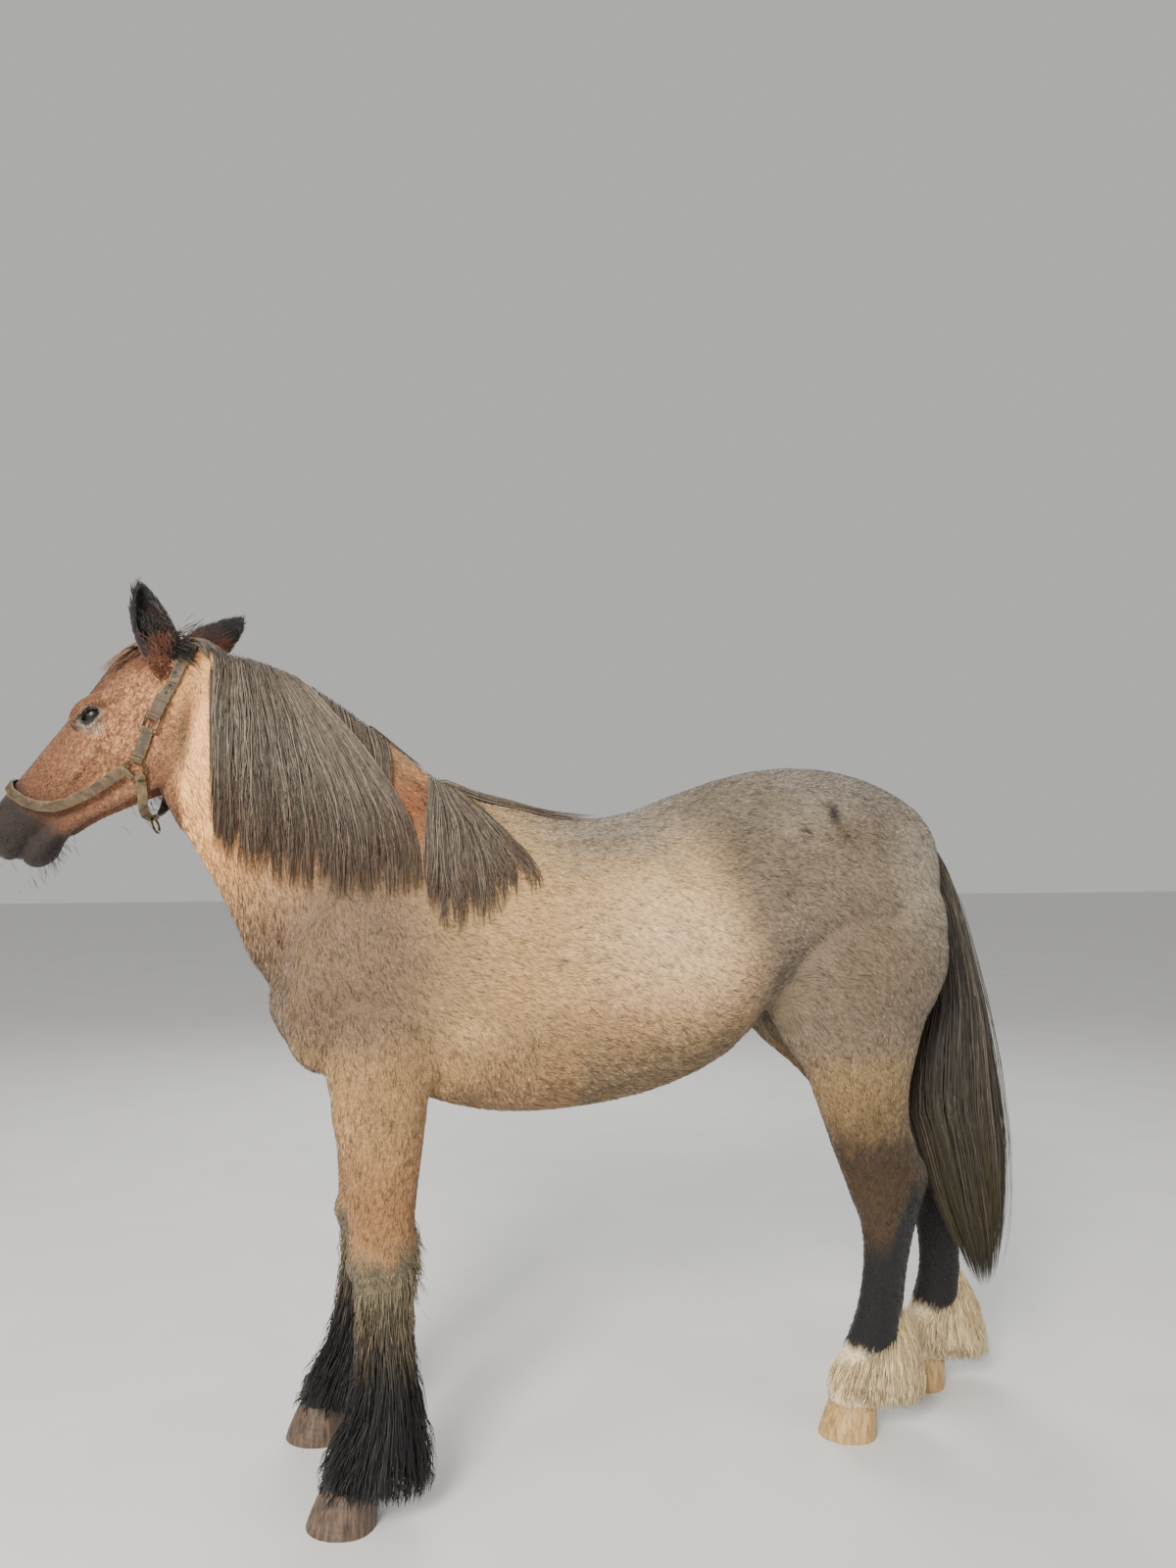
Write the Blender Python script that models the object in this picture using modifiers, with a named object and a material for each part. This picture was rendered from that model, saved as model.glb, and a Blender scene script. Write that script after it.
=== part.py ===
"""A young Belgian draft horse, standing, in a leather head collar: a still model at life size.

The horse looks along -X and its left side is at -Y. The floor is z = 0. The flesh is a set of drawn-out balls and
muscles that are fused into one body, smoothed, and parted with thin cuts. Mane, forelock, tail and leg feathers are
flat tapered locks that hang from their roots and lie over the flesh.
"""

import math
import random
from itertools import product

import bmesh
import bpy
import numpy as np
from mathutils import Matrix, Vector
from mathutils.bvhtree import BVHTree

# Driving dimensions, in metres.
GAP = 0.0003
FLESH_VOXEL = 0.011
HEAD_VOXEL = 0.0045
BODY_TRIANGLES = 3200
HEAD_TRIANGLES = 2000

# The head's own frame has its origin above the poll, -X to the muzzle, +Z out of the face and -Y to the left.
HEAD_ORIGIN = Vector((-1.130, 0.02, 1.925))
HEAD_SIZE = 1.09
HEAD_YAW = math.radians(-15)
HEAD_PITCH = math.radians(-48)
HEAD_ROLL = math.radians(2)

EYE_RADIUS = 0.0235
EYE_AT = Vector((-0.212, 0.0715, -0.055))

STRAP_WIDTH = 0.026
STRAP_THICK = 0.0035
STRAP_LIFT = 0.0050
RING_RADIUS = 0.021
RING_WIRE = 0.0028
RING_LIFT = 0.0094

# Name, side, base, the way to the tip and the way the cup opens, in the head's frame.
EARS = [
    ("left_ear", -1, (-0.032, -0.059, -0.078), (0.088, -0.030, 0.145), (0.30, -0.90, -0.15)),
    ("right_ear", 1, (-0.021, 0.064, -0.070), (0.166, 0.059, -0.022), (0.1, 0.8, 0.6)),
]

MANE_WIDTH = 0.085
FORELOCK_LOCKS = 4
MANE_THICK = 0.020
MANE_LIFT = 0.002

FORE_Y = 0.2
HIND_Y = 0.10
FORE_SHIFT = {-1: [(1.2, 0.0), (0.0, 0.0)], 1: [(1.2, 0.0), (0.9, 0.012), (0.55, -0.010), (0.0, -0.048)]}
HIND_SHIFT = {-1: [(1.2, 0.0), (0.0, 0.0)], 1: [(1.2, 0.0), (0.9, 0.09), (0.6, 0.22), (0.3, 0.28), (0.0, 0.31)]}
SIDES = {-1: "left", 1: "right"}

# Colour, roughness and metallic of each node, by the first word of a row that its name holds.
LOOKS = [
    (("eye",), ((0.020, 0.012, 0.008), 0.10, 0.0)),
    (("fore_hoof",), ((0.075, 0.055, 0.042), 0.55, 0.0)),
    (("hind_hoof",), ((0.330, 0.240, 0.150), 0.55, 0.0)),
    (("ring", "buckle"), ((0.300, 0.230, 0.120), 0.40, 1.0)),
    (("strap", "band"), ((0.150, 0.095, 0.055), 0.65, 0.0)),
    (("ear",), ((0.110, 0.055, 0.035), 0.85, 0.0)),
    (("fore_shank",), ((0.030, 0.028, 0.028), 0.80, 0.0)),
    (("hind_shank",), ((0.420, 0.350, 0.250), 0.85, 0.0)),
    (("tail",), ((0.060, 0.045, 0.035), 0.70, 0.0)),
    (("forearm",), ((0.270, 0.170, 0.110), 0.85, 0.0)),
    (("head",), ((0.240, 0.120, 0.075), 0.85, 0.0)),
    (("neck",), ((0.300, 0.200, 0.140), 0.85, 0.0)),
    (("",), ((0.340, 0.255, 0.200), 0.85, 0.0)),
]


def blend_along(rows, count):
    """Rows of numbers resampled to count rows on a smooth curve through them."""
    rows = np.array(rows, float)
    padded = np.vstack([2 * rows[0] - rows[1], rows, 2 * rows[-1] - rows[-2]])
    made = []
    for place in np.linspace(0, len(rows) - 1, count):
        i = min(int(place), len(rows) - 2)
        t = place - i
        a, b, c, d = padded[i : i + 4]
        made.append(0.5 * (2 * b + (c - a) * t + (2 * a - 5 * b + 4 * c - d) * t**2 + (3 * b - a - 3 * c + d) * t**3))
    return np.array(made)


def new_object(name, bm, matrix=None):
    """A mesh object from bm, with the matrix applied and its faces pointing out."""
    if matrix is not None:
        bmesh.ops.transform(bm, matrix=matrix, verts=bm.verts)
    bmesh.ops.recalc_face_normals(bm, faces=bm.faces)
    mesh = bpy.data.meshes.new(name)
    bm.to_mesh(mesh)
    bm.free()
    obj = bpy.data.objects.new(name, mesh)
    bpy.context.scene.collection.objects.link(obj)
    return obj


def drawn_ball(name, stations, rings=18, sides=20, matrix=None, lateral=(0, 1, 0)):
    """A ball drawn out along a spine. A station is x, y, z, its radii up, down and sideways and, if given, how square
    (under 1) or pointed (over 1) the ring is above and below. Up is the spine's direction crossed with lateral."""
    full = [tuple(s) + (1.0,) * (8 - len(s)) for s in stations]
    rows = blend_along(full, rings + 1)
    spine = rows[:, :3]
    run = np.gradient(spine, axis=0)
    run /= np.linalg.norm(run, axis=1)[:, None]
    side_way = np.array(lateral, float)
    bm = bmesh.new()
    bmesh.ops.create_uvsphere(bm, u_segments=sides, v_segments=rings, radius=1)
    for vert in bm.verts:
        ring = round(math.acos(max(-1.0, min(1.0, vert.co.z))) / math.pi * rings)
        around = math.atan2(vert.co.y, vert.co.x)
        up_way = np.cross(run[ring], side_way)
        up_way /= np.linalg.norm(up_way)
        up, down, wide, top_power, low_power = rows[ring, 3:8]
        if ring in (0, rings):
            up = down = wide = 0.0
        c, s = math.cos(around), math.sin(around)
        power = top_power if s > 0 else low_power
        high = math.copysign(abs(s) ** (2 - power if power < 1 else 1), s) * (up if s > 0 else down)
        out = math.copysign(abs(c) ** power, c) * wide
        vert.co = Vector(spine[ring] + up_way * high + side_way * out)
    return new_object(name, bm, matrix)


def ellipsoid(name, centre, radii, tilt=0.0, turn=0.0, matrix=None, segments=20):
    """A squashed ball, tilted about Y and then turned about Z, in degrees."""
    bm = bmesh.new()
    bmesh.ops.create_uvsphere(bm, u_segments=segments, v_segments=segments // 2 + 2, radius=1)
    place = Matrix.Translation(centre)
    place = place @ Matrix.Rotation(math.radians(turn), 4, "Z") @ Matrix.Rotation(math.radians(tilt), 4, "Y")
    place = place @ Matrix.Diagonal((*radii, 1))
    return new_object(name, bm, place if matrix is None else matrix @ place)


def settle(obj):
    """Applies an object's modifiers to its mesh."""
    graph = bpy.context.evaluated_depsgraph_get()
    mesh = bpy.data.meshes.new_from_object(obj.evaluated_get(graph))
    obj.modifiers.clear()
    obj.data = mesh
    return obj


def remove(obj):
    bpy.data.objects.remove(obj)


def fused(name, pieces, voxel, passes):
    """The pieces made one smooth skin."""
    bm = bmesh.new()
    for piece in pieces:
        bm.from_mesh(piece.data)
        remove(piece)
    body = new_object(name, bm)
    remesh = body.modifiers.new("one skin", "REMESH")
    remesh.mode = "VOXEL"
    remesh.voxel_size = voxel
    smooth = body.modifiers.new("soften", "SMOOTH")
    smooth.factor = 0.5
    smooth.iterations = passes
    return settle(body)


def thinned(obj, triangles):
    """The mesh with about this many triangles left."""
    obj.data.calc_loop_triangles()
    fewer = obj.modifiers.new("fewer faces", "DECIMATE")
    fewer.ratio = triangles / len(obj.data.loop_triangles)
    fewer.use_collapse_triangulate = True
    return settle(obj)


def combine(obj, other, operation, solver="EXACT", keep_other=False):
    """obj joined with, cut by or kept inside another object or a whole collection."""
    change = obj.modifiers.new(operation.lower(), "BOOLEAN")
    change.operation = operation
    change.solver = solver
    if isinstance(other, bpy.types.Collection):
        change.operand_type = "COLLECTION"
        change.collection = other
    else:
        change.object = other
    settle(obj)
    if not keep_other:
        for spent in list(other.objects) if isinstance(other, bpy.types.Collection) else [other]:
            remove(spent)
    return obj


def block(name, low, high, matrix=None):
    """A box between two corners."""
    bm = bmesh.new()
    bmesh.ops.create_cube(bm, size=1)
    low, high = Vector(low), Vector(high)
    place = Matrix.Translation((low + high) / 2) @ Matrix.Diagonal((*(high - low), 1))
    return new_object(name, bm, place if matrix is None else matrix @ place)


def copy_of(obj, name):
    twin = obj.copy()
    twin.data = obj.data.copy()
    twin.name = name
    bpy.context.scene.collection.objects.link(twin)
    return twin


def largest_body(obj):
    """Keeps the largest closed surface of a mesh, which drops sealed hollows and loose scraps."""
    bm = bmesh.new()
    bm.from_mesh(obj.data)
    left, islands = set(bm.faces), []
    while left:
        island, edge = set(), [left.pop()]
        while edge:
            face = edge.pop()
            island.add(face)
            near = {other for e in face.edges for other in e.link_faces} & left
            left -= near
            edge.extend(near)
        islands.append(island)
    largest = max(islands, key=lambda faces: sum(face.calc_area() for face in faces))
    spare = [face for face in bm.faces if face not in largest]
    if spare:
        bmesh.ops.delete(bm, geom=spare, context="FACES")
        loose = [vert for vert in bm.verts if not vert.link_faces]
        bmesh.ops.delete(bm, geom=loose, context="VERTS")
    bm.to_mesh(obj.data)
    bm.free()
    return obj


def islands(obj, name_for):
    """Splits a mesh into its separate bodies. name_for gives each one's name from its middle, or None to drop it."""
    bm = bmesh.new()
    bm.from_mesh(obj.data)
    left, made = set(bm.faces), {}
    while left:
        island, edge = set(), [left.pop()]
        while edge:
            face = edge.pop()
            island.add(face)
            near = {other for e in face.edges for other in e.link_faces} & left
            left -= near
            edge.extend(near)
        area = sum(face.calc_area() for face in island)
        middle = sum((face.calc_center_median() * face.calc_area() for face in island), Vector()) / area
        name = name_for(middle)
        if name and area > made.get(name, (0, None))[0]:
            made[name] = (area, {face.index for face in island})
    bm.free()
    pieces = {}
    for name, (_, keep) in made.items():
        part_bm = bmesh.new()
        part_bm.from_mesh(obj.data)
        spare = [face for face in part_bm.faces if face.index not in keep]
        bmesh.ops.delete(part_bm, geom=spare, context="FACES")
        loose = [vert for vert in part_bm.verts if not vert.link_faces]
        bmesh.ops.delete(part_bm, geom=loose, context="VERTS")
        pieces[name] = new_object(name, part_bm)
    return pieces


def slab(centre, size, tilt=0.0, turn=0.0):
    """A thin cutting slab that faces X before it is tilted about Y and turned about Z, in degrees."""
    place = Matrix.Translation(centre)
    place = place @ Matrix.Rotation(math.radians(turn), 4, "Z") @ Matrix.Rotation(math.radians(tilt), 4, "Y")
    high, wide = size[1] / 2, size[0] / 2
    return block("slab", (-GAP / 2, -wide, -high), (GAP / 2, wide, high), place)


def gather(name, objects):
    """The objects in a collection of their own, so that one Boolean can use them all."""
    group = bpy.data.collections.new(name)
    for obj in objects:
        group.objects.link(obj)
    return group


def cut_clear(obj, neighbour, solver="EXACT", gap=GAP * 1.4):
    """Cuts obj back so that it stays a gap away from its neighbour."""
    grown = copy_of(neighbour, "grown neighbour")
    grow = grown.modifiers.new("grow", "DISPLACE")
    grow.mid_level = 0
    grow.strength = gap
    settle(grown)
    combine(obj, grown, "DIFFERENCE", solver)
    return largest_body(obj)


def head_matrix():
    turn = Matrix.Rotation(HEAD_YAW, 4, "Z") @ Matrix.Rotation(HEAD_PITCH, 4, "Y") @ Matrix.Rotation(HEAD_ROLL, 4, "X")
    return Matrix.Translation(HEAD_ORIGIN) @ turn @ Matrix.Scale(HEAD_SIZE, 4)


def torso_pieces():
    """Barrel, breast and rump. x, y, z, up, down, side, upper and lower ring power."""
    barrel = [
        (-0.880, 0, 1.14, 0.07, 0.06, 0.07),
        (-0.845, 0, 1.13, 0.17, 0.13, 0.16),
        (-0.760, 0, 1.13, 0.28, 0.20, 0.235),
        (-0.640, 0, 1.14, 0.36, 0.265, 0.265, 1.1, 1.0),
        (-0.500, 0, 1.14, 0.400, 0.300, 0.285, 1.3, 1.0),
        (-0.360, 0, 1.13, 0.400, 0.325, 0.310, 1.3, 1.0),
        (-0.220, 0, 1.12, 0.378, 0.322, 0.335, 1.15, 1.0),
        (-0.050, 0, 1.12, 0.378, 0.297, 0.350, 1.0, 1.0),
        (0.100, 0, 1.15, 0.380, 0.258, 0.345),
        (0.240, 0, 1.22, 0.364, 0.188, 0.315),
        (0.380, 0, 1.28, 0.345, 0.190, 0.295),
        (0.520, 0, 1.29, 0.328, 0.220, 0.285),
        (0.640, 0, 1.28, 0.286, 0.200, 0.250),
        (0.725, 0, 1.26, 0.220, 0.150, 0.180),
        (0.772, 0, 1.25, 0.130, 0.100, 0.100),
    ]
    pieces = [drawn_ball("barrel", barrel, rings=42, sides=36)]
    for side in SIDES:
        pieces += [
            ellipsoid("shoulder blade", (-0.600, side * 0.140, 1.28), (0.130, 0.098, 0.26), tilt=36),
            ellipsoid("shoulder point", (-0.745, side * 0.160, 1.15), (0.095, 0.085, 0.14), tilt=12),
            ellipsoid("breast", (-0.775, side * 0.085, 1.07), (0.095, 0.100, 0.15), tilt=-12),
            ellipsoid("triceps", (-0.575, side * 0.190, 1.12), (0.16, 0.085, 0.18), tilt=-20),
            ellipsoid("rump", (0.44, side * 0.128, 1.39), (0.25, 0.155, 0.190), tilt=12),
            ellipsoid("hip", (0.25, side * 0.200, 1.40), (0.08, 0.06, 0.08)),
            ellipsoid("haunch", (0.595, side * 0.150, 1.21), (0.165, 0.125, 0.21), tilt=8),
            ellipsoid("girth", (-0.45, side * 0.13, 0.97), (0.16, 0.11, 0.12)),
        ]
    return pieces


def neck_pieces():
    """The neck, from the poll back to the shoulders, and its crest."""
    neck = [
        (-1.085, 0.03, 1.765, 0.06, 0.10, 0.065),
        (-1.045, 0.025, 1.74, 0.130, 0.155, 0.092),
        (-0.975, 0.015, 1.67, 0.190, 0.190, 0.108),
        (-0.87, 0.005, 1.565, 0.222, 0.225, 0.126),
        (-0.76, 0, 1.46, 0.240, 0.275, 0.150),
        (-0.65, 0, 1.35, 0.260, 0.325, 0.190),
        (-0.52, 0, 1.24, 0.25, 0.29, 0.22),
    ]
    crest = [
        (-1.06, 0.02, 1.836, 0.035, 0.05, 0.035),
        (-0.94, 0.01, 1.820, 0.045, 0.06, 0.045),
        (-0.78, 0, 1.740, 0.05, 0.07, 0.048),
        (-0.64, 0, 1.637, 0.05, 0.07, 0.052),
        (-0.50, 0, 1.537, 0.045, 0.08, 0.06),
        (-0.38, 0, 1.49, 0.045, 0.08, 0.07),
    ]
    return [drawn_ball("neck", neck, rings=26, sides=30), drawn_ball("crest", crest, rings=20, sides=16)]


def shifted(side, table, z):
    """How far back a leg's point at height z stands from the plain pose."""
    heights = [row[0] for row in table[side]][::-1]
    moves = [row[1] for row in table[side]][::-1]
    return float(np.interp(z, heights, moves))


def leg_stations(side, rows, shift):
    """Stations down a leg from rows of height, front x, back x, distance out and half width."""
    made = []
    for z, front, back, out, wide in rows:
        x = (front + back) / 2 + shifted(side, shift, z)
        half = (back - front) / 2
        made.append((x, side * out, z, half, half, wide, 0.95, 0.95))
    return made


def foreleg_pieces(side):
    rows = [
        (1.10, -0.76, -0.50, 0.190, 0.085),
        (1.00, -0.765, -0.505, 0.195, 0.092),
        (0.90, -0.742, -0.522, FORE_Y, 0.088),
        (0.80, -0.728, -0.533, FORE_Y, 0.080),
        (0.70, -0.712, -0.545, FORE_Y, 0.070),
        (0.61, -0.700, -0.553, FORE_Y, 0.061),
        (0.54, -0.694, -0.553, FORE_Y, 0.062),
        (0.47, -0.684, -0.558, FORE_Y, 0.056),
        (0.39, -0.670, -0.566, FORE_Y, 0.044),
        (0.29, -0.667, -0.566, FORE_Y, 0.042),
        (0.215, -0.680, -0.558, FORE_Y, 0.053),
        (0.155, -0.715, -0.590, FORE_Y, 0.052),
        (0.105, -0.745, -0.603, FORE_Y, 0.064),
        (0.05, -0.755, -0.620, FORE_Y, 0.066),
    ]
    stations = leg_stations(side, rows, FORE_SHIFT)
    shin = shifted(side, FORE_SHIFT, 0.54)
    return [
        drawn_ball("foreleg", stations, rings=44, sides=20),
        ellipsoid("forearm", (-0.665, side * (FORE_Y + 0.012), 0.88), (0.075, 0.075, 0.14)),
        ellipsoid("elbow", (-0.545, side * FORE_Y, 0.96), (0.05, 0.055, 0.07)),
        ellipsoid("knee", (-0.655 + shin, side * FORE_Y, 0.535), (0.050, 0.062, 0.055)),
        ellipsoid("knee back", (-0.572 + shin, side * (FORE_Y - 0.005), 0.560), (0.028, 0.038, 0.070)),
        ellipsoid("fetlock", (-0.60 + shin * 1.4, side * FORE_Y, 0.215), (0.055, 0.052, 0.042)),
    ]


def hindleg_pieces(side):
    rows = [
        (1.28, 0.30, 0.775, 0.150, 0.135),
        (1.15, 0.265, 0.755, 0.160, 0.140),
        (1.03, 0.295, 0.722, 0.160, 0.125),
        (0.92, 0.372, 0.682, 0.150, 0.103),
        (0.82, 0.418, 0.664, 0.138, 0.083),
        (0.72, 0.458, 0.672, 0.128, 0.066),
        (0.63, 0.495, 0.704, 0.120, 0.054),
        (0.565, 0.520, 0.716, 0.116, 0.056),
        (0.50, 0.548, 0.700, HIND_Y, 0.054),
        (0.42, 0.556, 0.680, HIND_Y, 0.043),
        (0.32, 0.545, 0.664, HIND_Y, 0.040),
        (0.235, 0.522, 0.650, HIND_Y, 0.052),
        (0.165, 0.488, 0.610, HIND_Y, 0.050),
        (0.105, 0.462, 0.598, HIND_Y, 0.060),
        (0.05, 0.452, 0.585, HIND_Y, 0.062),
    ]
    stations = leg_stations(side, rows, HIND_SHIFT)
    hock = shifted(side, HIND_SHIFT, 0.6)
    low = shifted(side, HIND_SHIFT, 0.23)
    stifle = shifted(side, HIND_SHIFT, 1.02)
    return [
        drawn_ball("hind leg", stations, rings=48, sides=22),
        ellipsoid("stifle", (0.362 + stifle, side * 0.165, 1.08), (0.075, 0.072, 0.11), tilt=20),
        ellipsoid("hock point", (0.700 + hock, side * 0.116, 0.615), (0.024, 0.026, 0.055), tilt=-12),
        ellipsoid("hock", (0.600 + hock, side * 0.114, 0.545), (0.062, 0.058, 0.055)),
        ellipsoid("fetlock", (0.595 + low, side * HIND_Y, 0.235), (0.058, 0.052, 0.044)),
    ]


def head_pieces(matrix):
    """Skull, jaws, muzzle and brows, in the head's own frame."""
    skull = [
        (-0.575, 0, -0.085, 0.020, 0.022, 0.026),
        (-0.555, 0, -0.075, 0.045, 0.045, 0.046),
        (-0.520, 0, -0.068, 0.055, 0.060, 0.054, 0.95, 0.9),
        (-0.470, 0, -0.065, 0.058, 0.062, 0.050),
        (-0.410, 0, -0.070, 0.066, 0.072, 0.050),
        (-0.340, 0, -0.080, 0.080, 0.082, 0.058, 0.9, 1.0),
        (-0.270, 0, -0.092, 0.094, 0.090, 0.073, 0.85, 1.0),
        (-0.200, 0, -0.105, 0.112, 0.098, 0.087, 0.85, 1.0),
        (-0.130, 0, -0.118, 0.130, 0.100, 0.088, 0.9, 1.0),
        (-0.060, 0, -0.135, 0.114, 0.095, 0.080),
        (0.000, 0, -0.155, 0.074, 0.085, 0.068),
        (0.035, 0, -0.175, 0.035, 0.045, 0.045),
    ]
    pieces = [drawn_ball("skull", skull, rings=34, sides=28, matrix=matrix)]
    lower_lip = [
        (-0.545, 0, -0.140, 0.010, 0.012, 0.020),
        (-0.530, 0, -0.140, 0.024, 0.024, 0.036),
        (-0.500, 0, -0.142, 0.032, 0.030, 0.040),
        (-0.460, 0, -0.140, 0.030, 0.022, 0.034),
        (-0.400, 0, -0.140, 0.030, 0.020, 0.030),
    ]
    pieces.append(drawn_ball("lower lip", lower_lip, rings=14, sides=18, matrix=matrix))
    for side in SIDES:
        jaw = [
            (-0.470, side * 0.018, -0.138, 0.020, 0.020, 0.016),
            (-0.380, side * 0.028, -0.152, 0.030, 0.028, 0.018),
            (-0.290, side * 0.044, -0.176, 0.050, 0.042, 0.022),
            (-0.220, side * 0.056, -0.188, 0.070, 0.062, 0.028),
            (-0.160, side * 0.061, -0.180, 0.075, 0.064, 0.032),
            (-0.110, side * 0.064, -0.160, 0.065, 0.052, 0.032),
            (-0.070, side * 0.064, -0.138, 0.045, 0.040, 0.030),
            (-0.045, side * 0.062, -0.122, 0.025, 0.025, 0.018),
        ]
        brow = [
            (-0.265, side * 0.060, -0.040, 0.012, 0.016, 0.016),
            (-0.235, side * 0.078, -0.034, 0.016, 0.018, 0.020),
            (-0.205, side * 0.083, -0.034, 0.017, 0.018, 0.022),
            (-0.165, side * 0.078, -0.050, 0.016, 0.018, 0.020),
            (-0.120, side * 0.070, -0.080, 0.012, 0.016, 0.014),
        ]
        cheek_bone = [
            (-0.365, side * 0.050, -0.098, 0.006, 0.010, 0.008),
            (-0.300, side * 0.064, -0.100, 0.009, 0.014, 0.011),
            (-0.230, side * 0.077, -0.100, 0.012, 0.016, 0.013),
            (-0.160, side * 0.080, -0.098, 0.012, 0.016, 0.013),
            (-0.090, side * 0.072, -0.110, 0.012, 0.016, 0.011),
        ]
        nostril_rim = [
            (-0.478, side * 0.042, -0.030, 0.006, 0.008, 0.007),
            (-0.505, side * 0.045, -0.028, 0.010, 0.010, 0.011),
            (-0.532, side * 0.044, -0.036, 0.011, 0.010, 0.013),
            (-0.552, side * 0.040, -0.056, 0.010, 0.010, 0.013),
            (-0.552, side * 0.038, -0.078, 0.009, 0.009, 0.011),
        ]
        pieces += [
            drawn_ball("jaw", jaw, rings=20, sides=16, matrix=matrix),
            drawn_ball("brow", brow, rings=12, sides=12, matrix=matrix),
            drawn_ball("cheek bone", cheek_bone, rings=12, sides=12, matrix=matrix),
            drawn_ball("nostril rim", nostril_rim, rings=12, sides=12, matrix=matrix),
            ellipsoid("cheek", (-0.180, side * 0.064, -0.165), (0.085, 0.034, 0.075), tilt=-30, matrix=matrix),
            ellipsoid("ear root", (-0.030, side * 0.052, -0.112), (0.045, 0.032, 0.048), matrix=matrix),
            ellipsoid("upper lip", (-0.530, side * 0.024, -0.098), (0.034, 0.028, 0.026), matrix=matrix),
        ]
    return pieces


def flesh(voxel, passes, with_legs=True):
    """The whole body, or its head and neck alone, as one smooth skin."""
    pieces = torso_pieces() + neck_pieces() + head_pieces(head_matrix())
    if with_legs:
        for side in SIDES:
            pieces += foreleg_pieces(side) + hindleg_pieces(side)
    return fused("flesh", pieces, voxel, passes)


def tree_of(obj):
    return BVHTree.FromPolygons([v.co for v in obj.data.vertices], [f.vertices for f in obj.data.polygons])


def coronet(side, hind):
    """Where a hoof's top cut stands and how it leans: centre x and z, and the tilt in degrees."""
    if hind:
        return Vector((0.535 + shifted(side, HIND_SHIFT, 0.08), side * HIND_Y, 0.076)), 17
    return Vector((-0.672 + shifted(side, FORE_SHIFT, 0.08), side * FORE_Y, 0.080)), 17


def hoof(name, side, hind):
    """A hoof: a flaring wall with a flat sole at z = 0, cut off along the coronet."""
    centre, lean = coronet(side, hind)
    rows = [
        (0.135, 0.020, 0.036, 0.038, 0.045),
        (0.105, 0.006, 0.046, 0.052, 0.058),
        (0.075, -0.004, 0.052, 0.062, 0.065),
        (0.040, -0.012, 0.057, 0.074, 0.070),
        (0.010, -0.017, 0.060, 0.083, 0.073),
        (-0.015, -0.020, 0.060, 0.088, 0.074),
        (-0.045, -0.022, 0.058, 0.086, 0.072),
    ]
    size = 0.94 if hind else 1.0
    stations = []
    for z, shift, rear, front, wide in rows:
        stations.append((centre.x + shift * size, centre.y, z, rear * size, front * size, wide * size))
    horn = drawn_ball(name, stations, rings=9, sides=16)
    top = Matrix.Translation(centre) @ Matrix.Rotation(math.radians(lean), 4, "Y")
    combine(horn, block("above the coronet", (-0.3, -0.3, -GAP / 2), (0.3, 0.3, 0.3), top), "DIFFERENCE")
    combine(horn, block("below the floor", (-2, -1, -0.2), (2, 1, 0)), "DIFFERENCE")
    return largest_body(horn)


def part_the_body():
    """The coarse body cut into torso, neck and legs."""
    body = thinned(flesh(FLESH_VOXEL, 10), BODY_TRIANGLES)
    cuts = [slab((-0.62, 0, 1.36), (0.9, 0.84), tilt=47.3)]
    cuts.append(slab((-1.042, 0, 1.71), (0.5, 0.62), tilt=6, turn=-8))
    for side in SIDES:
        cuts.append(slab((-0.64, side * 0.2, 0.80), (0.34, 0.36), tilt=90))
        cuts.append(slab((-0.64, side * 0.2, 0.475), (0.34, 0.3), tilt=90))
        thigh = 0.53 + shifted(side, HIND_SHIFT, 0.93)
        cuts.append(slab((thigh, side * 0.152, 0.93), (0.29, 0.5), tilt=90))
        cuts.append(slab((0.62 + shifted(side, HIND_SHIFT, 0.49), side * 0.11, 0.49), (0.2, 0.3), tilt=90))
        for hind in (False, True):
            centre, lean = coronet(side, hind)
            place = Matrix.Translation(centre) @ Matrix.Rotation(math.radians(lean), 4, "Y")
            cuts.append(block("foot", (-0.2, -0.099, -0.2), (0.2, 0.099, GAP / 2), place))

    def name_for(middle):
        if middle.z > 1.3 and middle.x < -1.02:
            return None
        if middle.z > 1.3 and middle.x < -0.5:
            return "neck"
        if middle.z > 0.9 and abs(middle.x) < 0.3:
            return "torso"
        side = "left" if middle.y < 0 else "right"
        if middle.x < 0:
            return side + ("_forearm" if middle.z > 0.475 else "_fore_shank")
        return side + ("_gaskin" if middle.z > 0.49 else "_hind_shank")

    combine(body, gather("cuts", cuts), "DIFFERENCE")
    pieces = islands(body, name_for)
    remove(body)
    return pieces


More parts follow.
